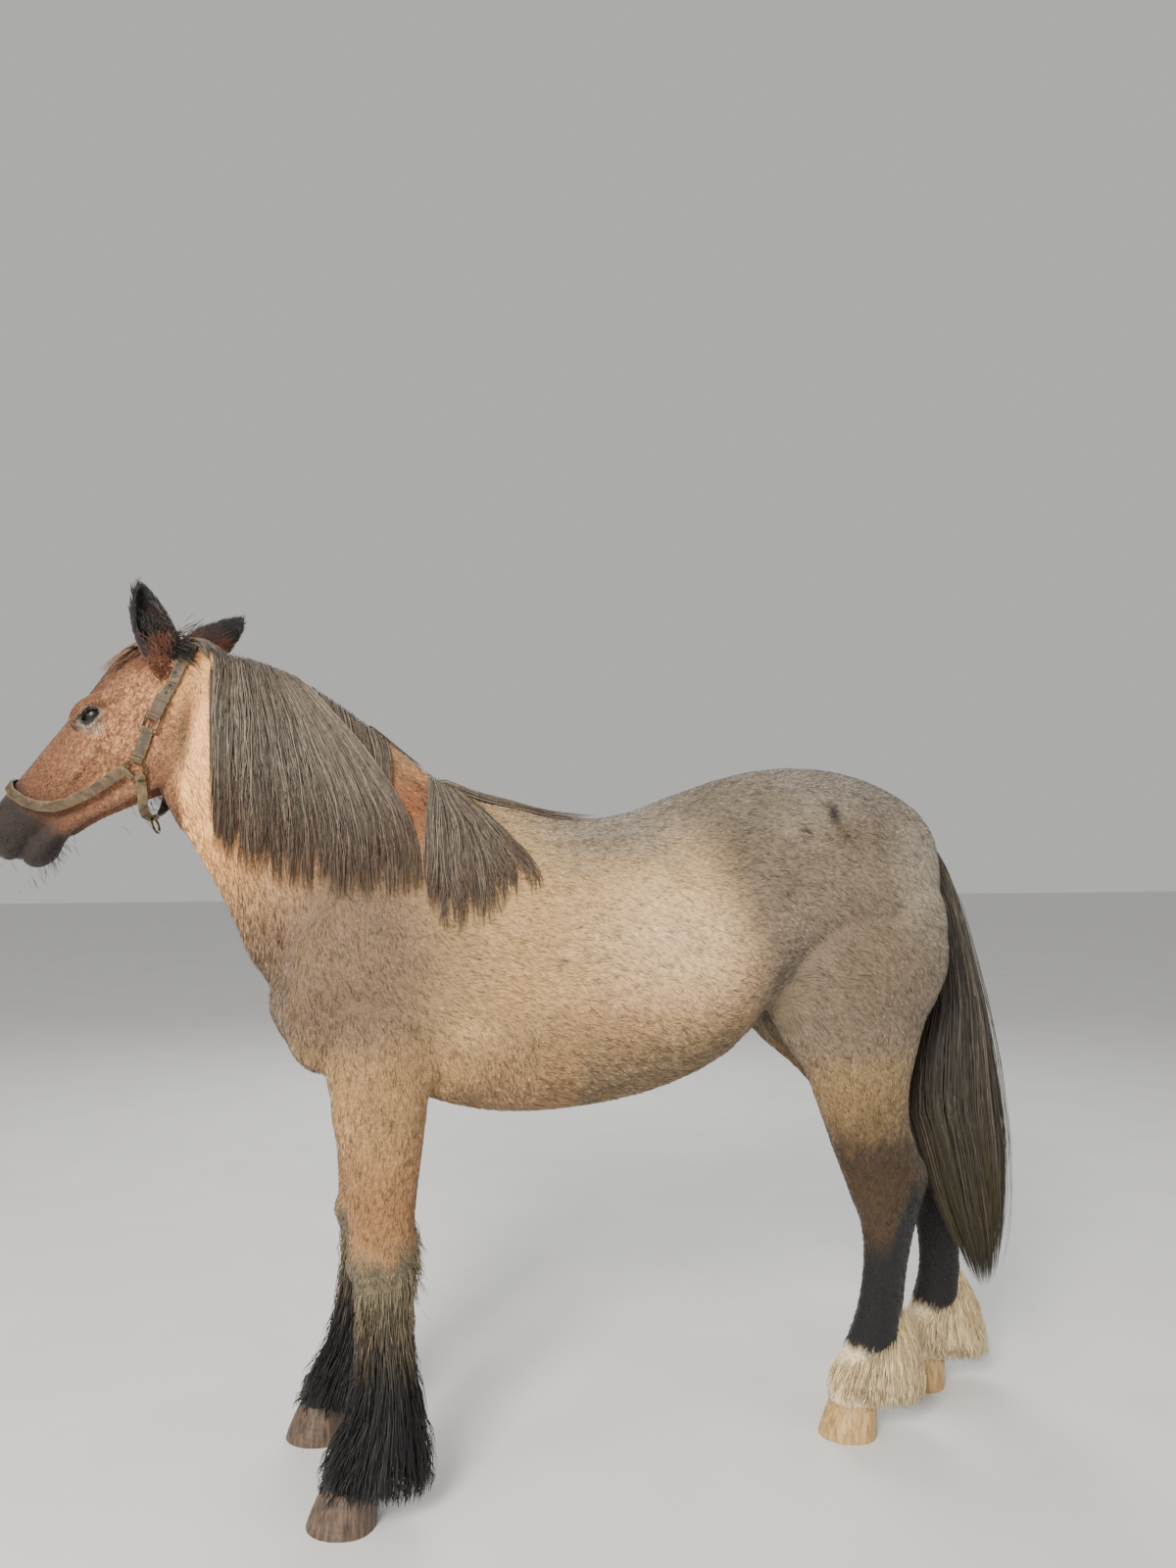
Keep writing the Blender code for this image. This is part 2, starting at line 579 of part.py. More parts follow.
def ear(name, base, tip_way, open_way, matrix):
    """A cupped ear from its base towards its tip, hollow towards open_way."""
    along = Vector(tip_way).normalized()
    mouth = Vector(open_way)
    mouth = (mouth - along * mouth.dot(along)).normalized()
    across = along.cross(mouth)
    frame = Matrix((mouth, across, along)).transposed().to_4x4()
    place = matrix @ Matrix.Translation(base) @ frame
    shell = [
        (0.000, 0, -0.035, 0.010, 0.012, 0.013),
        (0.000, 0, -0.008, 0.027, 0.028, 0.032),
        (-0.001, 0, 0.025, 0.032, 0.031, 0.038),
        (-0.004, 0, 0.060, 0.031, 0.030, 0.039),
        (-0.005, 0, 0.092, 0.026, 0.026, 0.034),
        (-0.002, 0, 0.122, 0.018, 0.020, 0.025),
        (0.004, 0, 0.143, 0.010, 0.012, 0.015),
        (0.011, 0, 0.158, 0.002, 0.003, 0.004),
    ]
    hollow = [
        (0.026, 0, 0.000, 0.004, 0.004, 0.004),
        (0.020, 0, 0.014, 0.018, 0.016, 0.015),
        (0.014, 0, 0.045, 0.034, 0.026, 0.029),
        (0.011, 0, 0.075, 0.037, 0.027, 0.030),
        (0.010, 0, 0.103, 0.033, 0.023, 0.024),
        (0.013, 0, 0.130, 0.022, 0.014, 0.015),
        (0.020, 0, 0.146, 0.006, 0.005, 0.004),
    ]
    made = drawn_ball(name, shell, rings=8, sides=12, matrix=place)
    combine(made, drawn_ball("hollow", hollow, rings=7, sides=9, matrix=place), "DIFFERENCE")
    return largest_body(made)


def make_head(matrix):
    """The head with its forelock, lids, eye sockets, nostrils and line of the mouth, and a tree of its bare skin."""
    pieces = head_pieces(matrix) + neck_pieces()
    for side in SIDES:
        centre = (EYE_AT.x, side * EYE_AT.y, EYE_AT.z)
        lid = EYE_RADIUS / HEAD_SIZE + 0.0035
        pieces.append(ellipsoid("lids", centre, (lid * 1.3, lid, lid * 1.15), matrix=matrix))
    head = thinned(fused("head", pieces, HEAD_VOXEL, 12), HEAD_TRIANGLES)
    tree = tree_of(head)
    combine(head, gather("forelock", forelock_locks(tree, matrix)), "UNION")
    cuts = [block("neck end", (0, -0.3, -0.9), (1.2, 0.3, 0.5), slab_frame((-1.042 - GAP / 2, 0, 1.71), 6, -8))]
    lips = [
        (-0.425, -0.070, -0.124, 0.001, 0.001, 0.002),
        (-0.450, -0.058, -0.124, 0.002, 0.002, 0.018),
        (-0.500, -0.056, -0.121, 0.002, 0.002, 0.018),
        (-0.545, -0.042, -0.119, 0.002, 0.002, 0.016),
        (-0.572, 0.000, -0.119, 0.002, 0.002, 0.016),
        (-0.545, 0.042, -0.119, 0.002, 0.002, 0.016),
        (-0.500, 0.056, -0.121, 0.002, 0.002, 0.018),
        (-0.450, 0.058, -0.124, 0.002, 0.002, 0.018),
        (-0.425, 0.070, -0.124, 0.001, 0.001, 0.002),
    ]
    cuts.append(mouth_line(lips, matrix))
    for side in SIDES:
        nostril = [
            (-0.500, side * 0.054, -0.034, 0.003, 0.003, 0.008),
            (-0.514, side * 0.050, -0.038, 0.008, 0.008, 0.016),
            (-0.532, side * 0.048, -0.052, 0.009, 0.009, 0.017),
            (-0.545, side * 0.046, -0.070, 0.008, 0.008, 0.016),
            (-0.549, side * 0.048, -0.082, 0.003, 0.003, 0.008),
        ]
        cuts.append(drawn_ball("nostril", nostril, rings=8, sides=10, matrix=matrix))
        eye = Vector((EYE_AT.x, side * EYE_AT.y, EYE_AT.z))
        socket = EYE_RADIUS / HEAD_SIZE + GAP
        cuts.append(ellipsoid("socket", eye, (socket, socket, socket), matrix=matrix, segments=12))
        slit = eye + Vector((0, side * 0.026, 0.001))
        cuts.append(ellipsoid("lid opening", slit, (0.0225, 0.026, 0.0125), tilt=24, matrix=matrix, segments=12))
    combine(head, gather("head cuts", cuts), "DIFFERENCE")
    return largest_body(head), tree


def slab_frame(centre, tilt, turn):
    turned = Matrix.Rotation(math.radians(turn), 4, "Z") @ Matrix.Rotation(math.radians(tilt), 4, "Y")
    return Matrix.Translation(centre) @ turned


def mouth_line(rows, matrix):
    """A thin blade bent round the muzzle, wide across its own path and only a few millimetres high."""
    rings = 18
    made = blend_along([row[:3] for row in rows], rings + 1)
    sizes = blend_along([row[3:] for row in rows], rings + 1)
    bm = bmesh.new()
    bmesh.ops.create_uvsphere(bm, u_segments=6, v_segments=rings, radius=1)
    run = np.gradient(made, axis=0)
    for vert in bm.verts:
        ring = round(math.acos(max(-1.0, min(1.0, vert.co.z))) / math.pi * rings)
        around = math.atan2(vert.co.y, vert.co.x)
        out = Vector((run[ring][1], -run[ring][0], 0)).normalized()
        if ring in (0, rings):
            vert.co = Vector(made[ring])
            continue
        rise = math.sin(around) * sizes[ring][0]
        vert.co = Vector(made[ring]) + out * math.cos(around) * sizes[ring][2] + Vector((0, 0, rise))
    return new_object("mouth line", bm, matrix)


def strap(name, waypoints, width, thick, lift, tree, matrix, steps=22, roll=0.0):
    """A strap laid along the surface through waypoints given in the head's frame."""
    rows = [list(matrix @ Vector(point)) for point in waypoints]
    path = blend_along(rows, steps)
    lengths = np.r_[0, np.cumsum(np.linalg.norm(np.diff(path, axis=0), axis=1))]
    even = np.linspace(0, lengths[-1], steps)
    path = np.array([[np.interp(s, lengths, path[:, k]) for k in range(3)] for s in even])
    bm = bmesh.new()
    bmesh.ops.create_grid(bm, x_segments=steps - 1, y_segments=1, size=1)
    for vert in bm.verts:
        i = round((vert.co.x + 1) / 2 * (steps - 1))
        share = vert.co.y / 2
        run = Vector(path[min(i + 1, steps - 1)] - path[max(i - 1, 0)]).normalized()
        near, normal, _, _ = tree.find_nearest(Vector(path[i]))
        across = run.cross(normal).normalized()
        spot = Vector(path[i]) + across * share * width
        near, facing, _, _ = tree.find_nearest(spot)
        vert.co = near + (facing + normal).normalized() * lift
    obj = new_object(name, bm)
    bm = bmesh.new()
    bm.from_mesh(obj.data)
    face = bm.faces[:][0]
    centre = face.calc_center_median()
    _, normal, _, _ = tree.find_nearest(centre)
    if face.normal.dot(normal) < 0:
        bmesh.ops.reverse_faces(bm, faces=bm.faces)
    bm.to_mesh(obj.data)
    bm.free()
    solid = obj.modifiers.new("leather", "SOLIDIFY")
    solid.thickness = thick
    solid.offset = 1
    solid.use_even_offset = False
    obj.modifiers.new("triangles", "TRIANGULATE")
    return settle(obj)


def ring_of_wire(name, radius, wire, matrix, steps=15, sides=5):
    """A closed ring that lies in its own XZ plane."""
    bm = bmesh.new()
    bmesh.ops.create_circle(bm, segments=sides, radius=wire)
    bmesh.ops.translate(bm, verts=bm.verts, vec=(radius, 0, 0))
    obj = new_object(name, bm)
    turn = obj.modifiers.new("turn", "SCREW")
    turn.axis = "Y"
    turn.angle = 2 * math.pi
    turn.steps = steps
    turn.render_steps = steps
    turn.use_merge_vertices = True
    turn.merge_threshold = 0.00001
    settle(obj)
    bm = bmesh.new()
    bm.from_mesh(obj.data)
    remove(obj)
    return new_object(name, bm, matrix)


def strap_frame(tree, matrix, spot, along, lift):
    """A frame on the surface: X along the strap, Y across it and Z out of the surface."""
    near, normal, _, _ = tree.find_nearest(matrix @ Vector(spot))
    run = (matrix.to_3x3() @ Vector(along)).normalized()
    run = (run - normal * run.dot(normal)).normalized()
    frame = Matrix((run, normal.cross(run), normal)).transposed().to_4x4()
    return Matrix.Translation(near + normal * lift) @ frame


def wrapped(name, bm):
    """The tightest skin without hollows round the points of bm."""
    found = bmesh.ops.convex_hull(bm, input=bm.verts)
    inside = {item for item in found["geom_interior"] + found["geom_unused"] if isinstance(item, bmesh.types.BMVert)}
    bmesh.ops.delete(bm, geom=list(inside), context="VERTS")
    return new_object(name, bm)


def slice_tree(head, low, high, matrix):
    """The outside of one slice of the head, bridged over its hollows as a taut strap would be."""
    piece = combine(copy_of(head, "slice"), block("slice box", low, high, matrix), "INTERSECT")
    bm = bmesh.new()
    for vert in piece.data.vertices:
        bm.verts.new(vert.co)
    remove(piece)
    hull = wrapped("hull", bm)
    tree = tree_of(hull)
    remove(hull)
    return tree


def fold(strap_piece, frame, size, hardware, shift=(0, 0, 0), at_end=True):
    """Folds a strap's end round its hardware: a block of leather with the hardware's own channel through it, drawn out
    to the strap's last cross-section."""
    bm = bmesh.new()
    for corner in product((-0.5, 0.5), repeat=3):
        bm.verts.new(frame @ Vector([shift[k] + size[k] * corner[k] for k in range(3)]))
    if at_end:
        middle = frame @ Vector(shift)
        spots = sorted((vert.co for vert in strap_piece.data.vertices), key=lambda spot: (spot - middle).length)
        centre = sum(spots[:4], Vector()) / 4
        inward = (sum(spots[4:8], Vector()) / 4 - centre) * 0.3
        for spot in spots[:4]:
            bm.verts.new(centre + (spot - centre) * 0.85 + inward)
    combine(strap_piece, wrapped("fold", bm), "UNION")
    return cut_clear(strap_piece, hardware, "MANIFOLD")


def head_collar(head, tree, matrix):
    """Crown strap, cheek straps, rings, buckle, keeper, nose band, jaw strap and lead ring."""
    made = {}
    over = [
        (-0.205, 0.089, -0.186),
        (-0.153, 0.097, -0.166),
        (-0.107, 0.095, -0.152),
        (-0.060, 0.092, -0.138),
        (-0.020, 0.086, -0.122),
        (0.014, 0.066, -0.105),
        (0.033, 0.032, -0.085),
        (0.036, 0.000, -0.078),
    ]
    over += [(x, -y, z) for x, y, z in over[:-1]][::-1][:4] + [(-0.100, -0.095, -0.148), (-0.128, -0.0965, -0.156)]
    under = [(-0.152, -0.097, -0.164), (-0.180, -0.094, -0.176), (-0.205, -0.089, -0.186)]
    made["crown_strap"] = strap("crown_strap", over, STRAP_WIDTH, STRAP_THICK, STRAP_LIFT, tree, matrix, steps=28)
    made["left_cheek_strap"] = strap(
        "left_cheek_strap", under, STRAP_WIDTH, STRAP_THICK, STRAP_LIFT, tree, matrix, steps=8
    )
    rings = {}
    for side, word in SIDES.items():
        frame = strap_frame(tree, matrix, (-0.222, side * 0.080, -0.194), (-0.9, 0, -0.45), RING_LIFT)
        flat = frame @ Matrix.Rotation(math.radians(90), 4, "X")
        name = word + "_cheek_ring"
        rings[side] = (frame, ring_of_wire(name, RING_RADIUS, RING_WIRE, flat))
        made[name] = rings[side][1]
    size = (0.012, STRAP_WIDTH, 0.0105)
    fold(made["crown_strap"], rings[1][0], size, rings[1][1], (-RING_RADIUS, 0, 0))
    fold(made["left_cheek_strap"], rings[-1][0], size, rings[-1][1], (-RING_RADIUS, 0, 0))

    frame = strap_frame(tree, matrix, (-0.140, -0.097, -0.160), (-0.9, 0, -0.35), RING_LIFT - 0.0005)
    buckle = block("cheek_buckle", (-0.017, -0.0195, -0.002), (0.017, 0.0195, 0.002), frame)
    combine(buckle, block("buckle opening", (-0.0125, -0.0150, -0.01), (0.0125, 0.0150, 0.01), frame), "DIFFERENCE")
    tongue = drawn_ball("tongue", [(-0.016, 0, 0.001, 0.002, 0.002, 0.002), (0.015, 0, 0.001, 0.002, 0.002, 0.002)], 4, 6)
    tongue.data.transform(frame)
    made["cheek_buckle"] = combine(buckle, tongue, "UNION")
    for name, way in (("crown_strap", -1), ("left_cheek_strap", 1)):
        fold(made[name], frame, (0.010, STRAP_WIDTH, 0.0095), buckle, (way * 0.0150, 0, 0))

    spot = strap_frame(tree, matrix, (-0.085, -0.094, -0.145), (-0.9, 0, -0.30), STRAP_LIFT + STRAP_THICK / 2)
    keeper = block("strap_keeper", (-0.006, -0.0165, -0.0036), (0.006, 0.0165, 0.0036), spot)
    made["strap_keeper"] = cut_clear(keeper, made["crown_strap"], "MANIFOLD")

    taut = slice_tree(head, (-0.47, -0.2, -0.28), (-0.22, 0.2, 0.2), matrix)
    nose = [
        (-0.238, -0.080, -0.180),
        (-0.280, -0.072, -0.168),
        (-0.340, -0.062, -0.148),
        (-0.395, -0.056, -0.120),
        (-0.425, -0.052, -0.085),
        (-0.438, -0.047, -0.045),
        (-0.442, -0.028, -0.010),
        (-0.442, 0.000, 0.000),
    ]
    nose += [(x, -y, z) for x, y, z in nose[:-1]][::-1]
    band = strap("nose_band", nose, 0.024, 0.005, STRAP_LIFT, taut, matrix, steps=23)
    jaw = [(-0.238, -0.078, -0.214), (-0.264, -0.068, -0.236), (-0.286, -0.040, -0.246), (-0.292, 0, -0.240)]
    jaw += [(x, -y, z) for x, y, z in jaw[:-1]][::-1]
    chin = strap("jaw_strap", jaw, 0.022, STRAP_THICK, STRAP_LIFT, taut, matrix, steps=13)
    for side in SIDES:
        frame, ring = rings[side]
        for leather, degrees, wide in ((band, 35, 0.024), (chin, -40, 0.022)):
            turned = frame @ Matrix.Rotation(math.radians(side * degrees), 4, "Z")
            fold(leather, turned, (0.012, wide, 0.0105), ring, (RING_RADIUS, 0, 0))
    made["nose_band"], made["jaw_strap"] = band, chin

    low = strap_frame(taut, matrix, (-0.292, 0, -0.250), (-1, 0, 0), 0.0)
    hoop = low @ Matrix.Translation((0, 0, 0.0255)) @ Matrix.Rotation(math.radians(90), 4, "Z")
    made["lead_ring"] = ring_of_wire("lead_ring", 0.018, RING_WIRE, hoop)
    fold(chin, low, (0.022, 0.014, 0.012), made["lead_ring"], (0, 0, 0.0075), at_end=False)
    return made


def hang(tree, root, way, length, steps, lift, pull=(0, 0, -1), stiff=0.6):
    """The path of a lock that leaves its root along way, falls along pull and lies on the surface."""
    spot, way, pull = Vector(root), Vector(way).normalized(), Vector(pull).normalized()
    path, facing = [spot.copy()], [Vector((0, 0, 1))]
    step = length / steps
    for _ in range(steps):
        way = (way * stiff + pull * (1 - stiff)).normalized()
        ahead = spot + way * step
        near, normal, _, _ = tree.find_nearest(ahead)
        if (ahead - near).dot(normal) < lift:
            ahead = near + normal * lift
        way = (ahead - spot).normalized()
        spot = ahead
        path.append(spot.copy())
        facing.append(normal.copy())
    facing[0] = facing[1]
    return path, facing


def lock(path, facing, width, thick, root_share=0.6):
    """A lock with a flat underside and a low ridge, which swells from its root and tapers to its tip."""
    rings = len(path) - 1
    bm = bmesh.new()
    bmesh.ops.create_uvsphere(bm, u_segments=3, v_segments=rings, radius=1)
    for vert in bm.verts:
        ring = round(math.acos(max(-1.0, min(1.0, vert.co.z))) / math.pi * rings)
        around = math.atan2(vert.co.y, vert.co.x) + math.pi / 2
        spot = path[ring]
        if ring in (0, rings):
            vert.co = spot
            continue
        run = (path[ring + 1] - path[ring - 1]).normalized()
        across = run.cross(facing[ring]).normalized()
        out = across.cross(run).normalized()
        share = ring / rings
        swell = min(1.0, root_share + share * 1.6) * (1 - max(0.0, share - 0.35) / 0.65 * 0.75)
        vert.co = spot + across * math.cos(around) * width / 2 * swell + out * math.sin(around) * thick / 2 * swell
    return new_object("lock", bm)


def fringe(tree, rows, seed, width, thick, lift):
    """Locks from rows of how many, root from and to, sweep from and to, length from and to."""
    chance = random.Random(seed)
    locks = []
    for count, first, last, sweeps, lengths, steps in rows:
        for i in range(count):
            share = i / max(1, count - 1)
            root = Vector(first).lerp(Vector(last), share) + Vector((0, -0.008, -0.012))
            sweep = sweeps[0] + (sweeps[1] - sweeps[0]) * share + chance.uniform(-0.04, 0.04)
            length = (lengths[0] + (lengths[1] - lengths[0]) * share) * chance.uniform(0.93, 1.06)
            path, facing = hang(tree, root, (0, -1, 0.3), length, steps, lift + chance.uniform(0, 0.003), (sweep, 0.35, -1))
            locks.append(lock(path, facing, width * chance.uniform(0.85, 1.15), thick))
    return locks


def mane_locks(tree, seed=1):
    """The mane: it falls on the left side, and its last hank fans out over the shoulder."""
    rows = [
        (4, (-0.790, 0, 1.808), (-0.640, 0, 1.702), (0.05, 0.10), (0.32, 0.24), 5),
        (6, (-1.000, 0.02, 1.884), (-0.850, 0, 1.852), (-0.02, 0.15), (0.42, 0.50), 5),
        (3, (-0.860, 0, 1.856), (-0.800, 0, 1.820), (0.35, 0.75), (0.51, 0.47), 5),
        (4, (-0.490, 0, 1.600), (-0.440, 0, 1.575), (-0.12, 1.00), (0.37, 0.36), 5),
    ]
    return fringe(tree, rows, seed, MANE_WIDTH, MANE_THICK, MANE_LIFT)


def ring_point(rows, height, around, reach):
    """A point at a height on a hair form's outside. Its rows are centre x, y, z and the radii along X and Y, from the
    top down. Around is an angle from the front and reach is the share of the radii."""
    heights = [row[2] for row in rows][::-1]
    x, y, rx, ry = [float(np.interp(height, heights, [row[k] for row in rows][::-1])) for k in (0, 1, 3, 4)]
    return Vector((x - math.cos(around) * rx * reach, y + math.sin(around) * ry * reach, height))


def drape(rows, seed, layers, width, thick, steps, swirl):
    """Locks that follow a hair form's outside. A layer is how many, root from and to, tip from and to, root reach and
    tip reach, and the angle of its first lock."""
    chance = random.Random(seed)
    locks = []
    for count, roots, tips, reach_in, reach_out, start in layers:
        for i in range(count):
            around = start + 2 * math.pi * i / count + chance.uniform(-0.08, 0.08)
            swing = chance.uniform(-swirl, swirl)
            top = chance.uniform(*roots)
            low = chance.uniform(*tips)
            path, facing = [], []
            for step in range(steps + 1):
                share = step / steps
                reach = reach_in + (reach_out - reach_in) * min(1.0, share * 2.2) + 0.06 * math.sin(share * 5 + i)
                spot = ring_point(rows, top + (low - top) * share, around + swing * share, reach)
                middle = ring_point(rows, spot.z, around, 0)
                path.append(spot)
                facing.append((spot - middle).normalized())
            locks.append(lock(path, facing, width * chance.uniform(0.85, 1.15), thick))
    return locks


# The tail's outside: centre x, y, z and the radii along X and Y.
TAIL = [
    (0.738, 0.000, 1.500, 0.012, 0.012),
    (0.768, 0.000, 1.450, 0.044, 0.034),
    (0.805, 0.000, 1.375, 0.054, 0.043),
    (0.840, 0.000, 1.280, 0.058, 0.050),
    (0.854, -0.005, 1.180, 0.062, 0.058),
    (0.864, -0.015, 1.030, 0.076, 0.066),
    (0.850, -0.030, 0.885, 0.104, 0.070),
    (0.847, -0.040, 0.760, 0.120, 0.070),
    (0.866, -0.045, 0.660, 0.110, 0.066),
    (0.888, -0.045, 0.520, 0.090, 0.058),
    (0.906, -0.045, 0.430, 0.068, 0.048),
    (0.922, -0.042, 0.330, 0.038, 0.032),
    (0.930, -0.040, 0.265, 0.010, 0.010),
]


def tail_core():
    """The dock, down to half way along the tail."""
    rows = [(x, y, z, rx * 0.92, rx * 0.92, ry * 0.92) for x, y, z, rx, ry in TAIL[:6]]
    rows += [(0.862, -0.025, 0.920, 0.044, 0.044, 0.036), (0.862, -0.030, 0.870, 0.004, 0.004, 0.004)]
    return drawn_ball("tail", rows, rings=10, sides=10)


def tail_locks():
    layers = [
        (4, (1.02, 1.10), (0.285, 0.400), 0.35, 0.45, 0.2),
        (7, (1.10, 1.24), (0.300, 0.520), 0.60, 0.92, 0.0),
        (4, (1.30, 1.38), (0.600, 0.780), 0.70, 1.00, 0.5),
    ]
    return drape(TAIL, 8, layers, 0.100, 0.030, 5, 0.24)


def feather_rows(side, hind):
    """The outside of the fall of hair round a pastern, from the top down."""
    if hind:
        rows = [
            (0.300, 0.575, 0.640, 0.018),
            (0.275, 0.548, 0.664, 0.034),
            (0.235, 0.515, 0.675, 0.050),
            (0.190, 0.474, 0.686, 0.068),
            (0.150, 0.455, 0.694, 0.078),
            (0.105, 0.447, 0.694, 0.084),
            (0.060, 0.445, 0.676, 0.086),
            (0.015, 0.452, 0.645, 0.082),
        ]
        out, shift = HIND_Y, HIND_SHIFT
    else:
        rows = [
            (0.385, -0.640, -0.590, 0.020),
            (0.350, -0.664, -0.562, 0.036),
            (0.290, -0.676, -0.548, 0.052),
            (0.215, -0.700, -0.528, 0.068),
            (0.145, -0.736, -0.514, 0.084),
            (0.090, -0.752, -0.512, 0.094),
            (0.050, -0.756, -0.520, 0.096),
            (0.015, -0.758, -0.530, 0.094),
        ]
        out, shift = FORE_Y, FORE_SHIFT
    return [((a + b) / 2 + shifted(side, shift, z), side * out, z, (b - a) / 2, w) for z, a, b, w in rows]


def feather_core(side, hind):
    """The dense root of a feather, down to half way."""
    rows = [(x, y, z, rx * 0.9, rx * 0.9, ry * 0.9) for x, y, z, rx, ry in feather_rows(side, hind)[:4]]
    x, y, z, rx, ry = feather_rows(side, hind)[4]
    rows += [(x, y, z, rx * 0.6, rx * 0.6, ry * 0.6), (x, y, z - 0.02, 0.01, 0.01, 0.01)]
    return drawn_ball("feather", rows, rings=6, sides=10)


def feather_locks(side, hind):
    layers = [
        (7, (0.19, 0.22) if hind else (0.23, 0.27), (0.014, 0.045), 0.62, 0.98, 0.0),
        (4, (0.25, 0.28) if hind else (0.31, 0.36), (0.075, 0.110), 0.60, 1.03, 0.4),
    ]
    return drape(feather_rows(side, hind), 3 + side + 10 * hind, layers, 0.100, 0.030, 4, 0.12)


def forelock_locks(tree, matrix):
    """The thin forelock that falls from the poll over the left of the forehead."""
    chance = random.Random(11)
    turn = matrix.to_3x3()
    locks = []
    for i in range(FORELOCK_LOCKS):
        share = i / (FORELOCK_LOCKS - 1)
        root = matrix @ Vector((-0.034, -0.002 + 0.009 * share, -0.080))
        pull = turn @ Vector((-1, -0.26 + 0.30 * share, -0.1))
        length = 0.15 * chance.uniform(0.85, 1.1)
        path, facing = hang(tree, root, turn @ Vector((-0.8, 0, 1.0)), length, 5, 0.003, pull)
        locks.append(lock(path, facing, 0.018, 0.011))
    return locks


def clear_scene():
    for obj in list(bpy.data.objects):
        bpy.data.objects.remove(obj)
    for group in list(bpy.data.collections):
        bpy.data.collections.remove(group)


def finish(parts):
    """Gives every node its name and material and puts the origin at the middle of the floor below the horse."""
    group = bpy.data.collections.new("belgian_draft_horse")
    bpy.context.scene.collection.children.link(group)
    corners = [vert.co for obj in parts.values() for vert in obj.data.vertices]
    middle = [(max(c[k] for c in corners) + min(c[k] for c in corners)) / 2 for k in (0, 1)]
    for name, obj in parts.items():
        obj.name = obj.data.name = name
        obj.data.transform(Matrix.Translation((-middle[0], -middle[1], 0)))
        for old in list(obj.users_collection):
            old.objects.unlink(obj)
        group.objects.link(obj)
        colour, roughness, metallic = next(look for words, look in LOOKS if any(word in name for word in words))
        material = bpy.data.materials.new(name)
        material.use_nodes = True
        shader = material.node_tree.nodes["Principled BSDF"]
        shader.inputs["Base Color"].default_value = (*colour, 1)
        shader.inputs["Roughness"].default_value = roughness
        shader.inputs["Metallic"].default_value = metallic
        obj.data.materials.clear()
        obj.data.materials.append(material)
        for face in obj.data.polygons:
            face.material_index = 0
            face.use_smooth = False
    for spare in [extra for extra in bpy.data.collections if extra is not group]:
        bpy.data.collections.remove(spare)


def main():
    clear_scene()
    guide = thinned(flesh(FLESH_VOXEL, 10), 30000)
    tree = tree_of(guide)
    remove(guide)
    parts = part_the_body()
    matrix = head_matrix()
    head, skin = make_head(matrix)
    parts["head"] = head
    straps = head_collar(head, skin, matrix)
    for name, side, base, tip_way, open_way in EARS:
        cup = parts[name] = ear(name, base, tip_way, open_way, matrix)
        cut_clear(cup, straps["crown_strap"], "MANIFOLD")
        cut_clear(cup, head, "MANIFOLD", gap=0.001)
    for side, word in SIDES.items():
        centre = Vector((EYE_AT.x, side * EYE_AT.y, EYE_AT.z))
        parts[word + "_eye"] = ellipsoid(word + "_eye", centre, (EYE_RADIUS / HEAD_SIZE,) * 3, matrix=matrix, segments=12)
        for hind, end in ((False, "_fore"), (True, "_hind")):
            foot = parts[word + end + "_hoof"] = hoof(word + end + "_hoof", side, hind)
            shank = parts[word + end + "_shank"]
            hair = [feather_core(side, hind)] + feather_locks(side, hind)
            combine(shank, gather("feather", hair), "UNION")
            cut_clear(shank, foot)
    combine(parts["neck"], gather("mane", mane_locks(tree)), "UNION")
    cut_clear(parts["neck"], parts["torso"])
    cut_clear(parts["neck"], head)
    cut_clear(parts["neck"], straps["crown_strap"])
    parts["tail"] = combine(tail_core(), gather("tail hair", tail_locks()), "UNION")
    cut_clear(parts["tail"], parts["torso"])
    parts.update(straps)
    finish(parts)


if __name__ == "__main__":
    main()
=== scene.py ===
import math

import bmesh
import bpy
import numpy as np
from mathutils import Matrix, Vector
from mathutils.bvhtree import BVHTree
from mathutils.interpolate import poly_3d_calc
from mathutils.kdtree import KDTree


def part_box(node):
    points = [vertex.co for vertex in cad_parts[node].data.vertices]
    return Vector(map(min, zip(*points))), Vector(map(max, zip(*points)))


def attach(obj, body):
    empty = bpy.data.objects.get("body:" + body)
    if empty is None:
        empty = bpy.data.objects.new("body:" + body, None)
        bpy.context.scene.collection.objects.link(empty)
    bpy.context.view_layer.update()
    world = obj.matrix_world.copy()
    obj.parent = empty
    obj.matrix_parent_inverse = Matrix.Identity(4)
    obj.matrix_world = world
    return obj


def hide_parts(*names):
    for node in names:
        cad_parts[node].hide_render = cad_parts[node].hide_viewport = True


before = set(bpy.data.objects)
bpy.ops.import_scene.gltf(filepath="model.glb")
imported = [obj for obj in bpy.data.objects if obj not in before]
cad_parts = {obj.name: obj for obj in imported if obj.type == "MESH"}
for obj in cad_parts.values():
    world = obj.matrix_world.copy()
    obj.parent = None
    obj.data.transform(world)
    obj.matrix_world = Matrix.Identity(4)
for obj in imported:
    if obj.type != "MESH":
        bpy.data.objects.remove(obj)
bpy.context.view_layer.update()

# The horse's own frame: it looks along -X, its left side is at -Y and the floor is at z = 0.
# Everything is moved into the row frame at the end, by the step between the two left eyes.
HEAD_ORIGIN = Vector((-1.130, 0.02, 1.925))
HEAD_SIZE = 1.09
HEAD_YAW = math.radians(-15)
HEAD_PITCH = math.radians(-48)
HEAD_ROLL = math.radians(2)
EYE_RADIUS = 0.0235
EYE_AT = Vector((-0.212, 0.0715, -0.055))
FORE_Y = 0.2
HIND_Y = 0.10
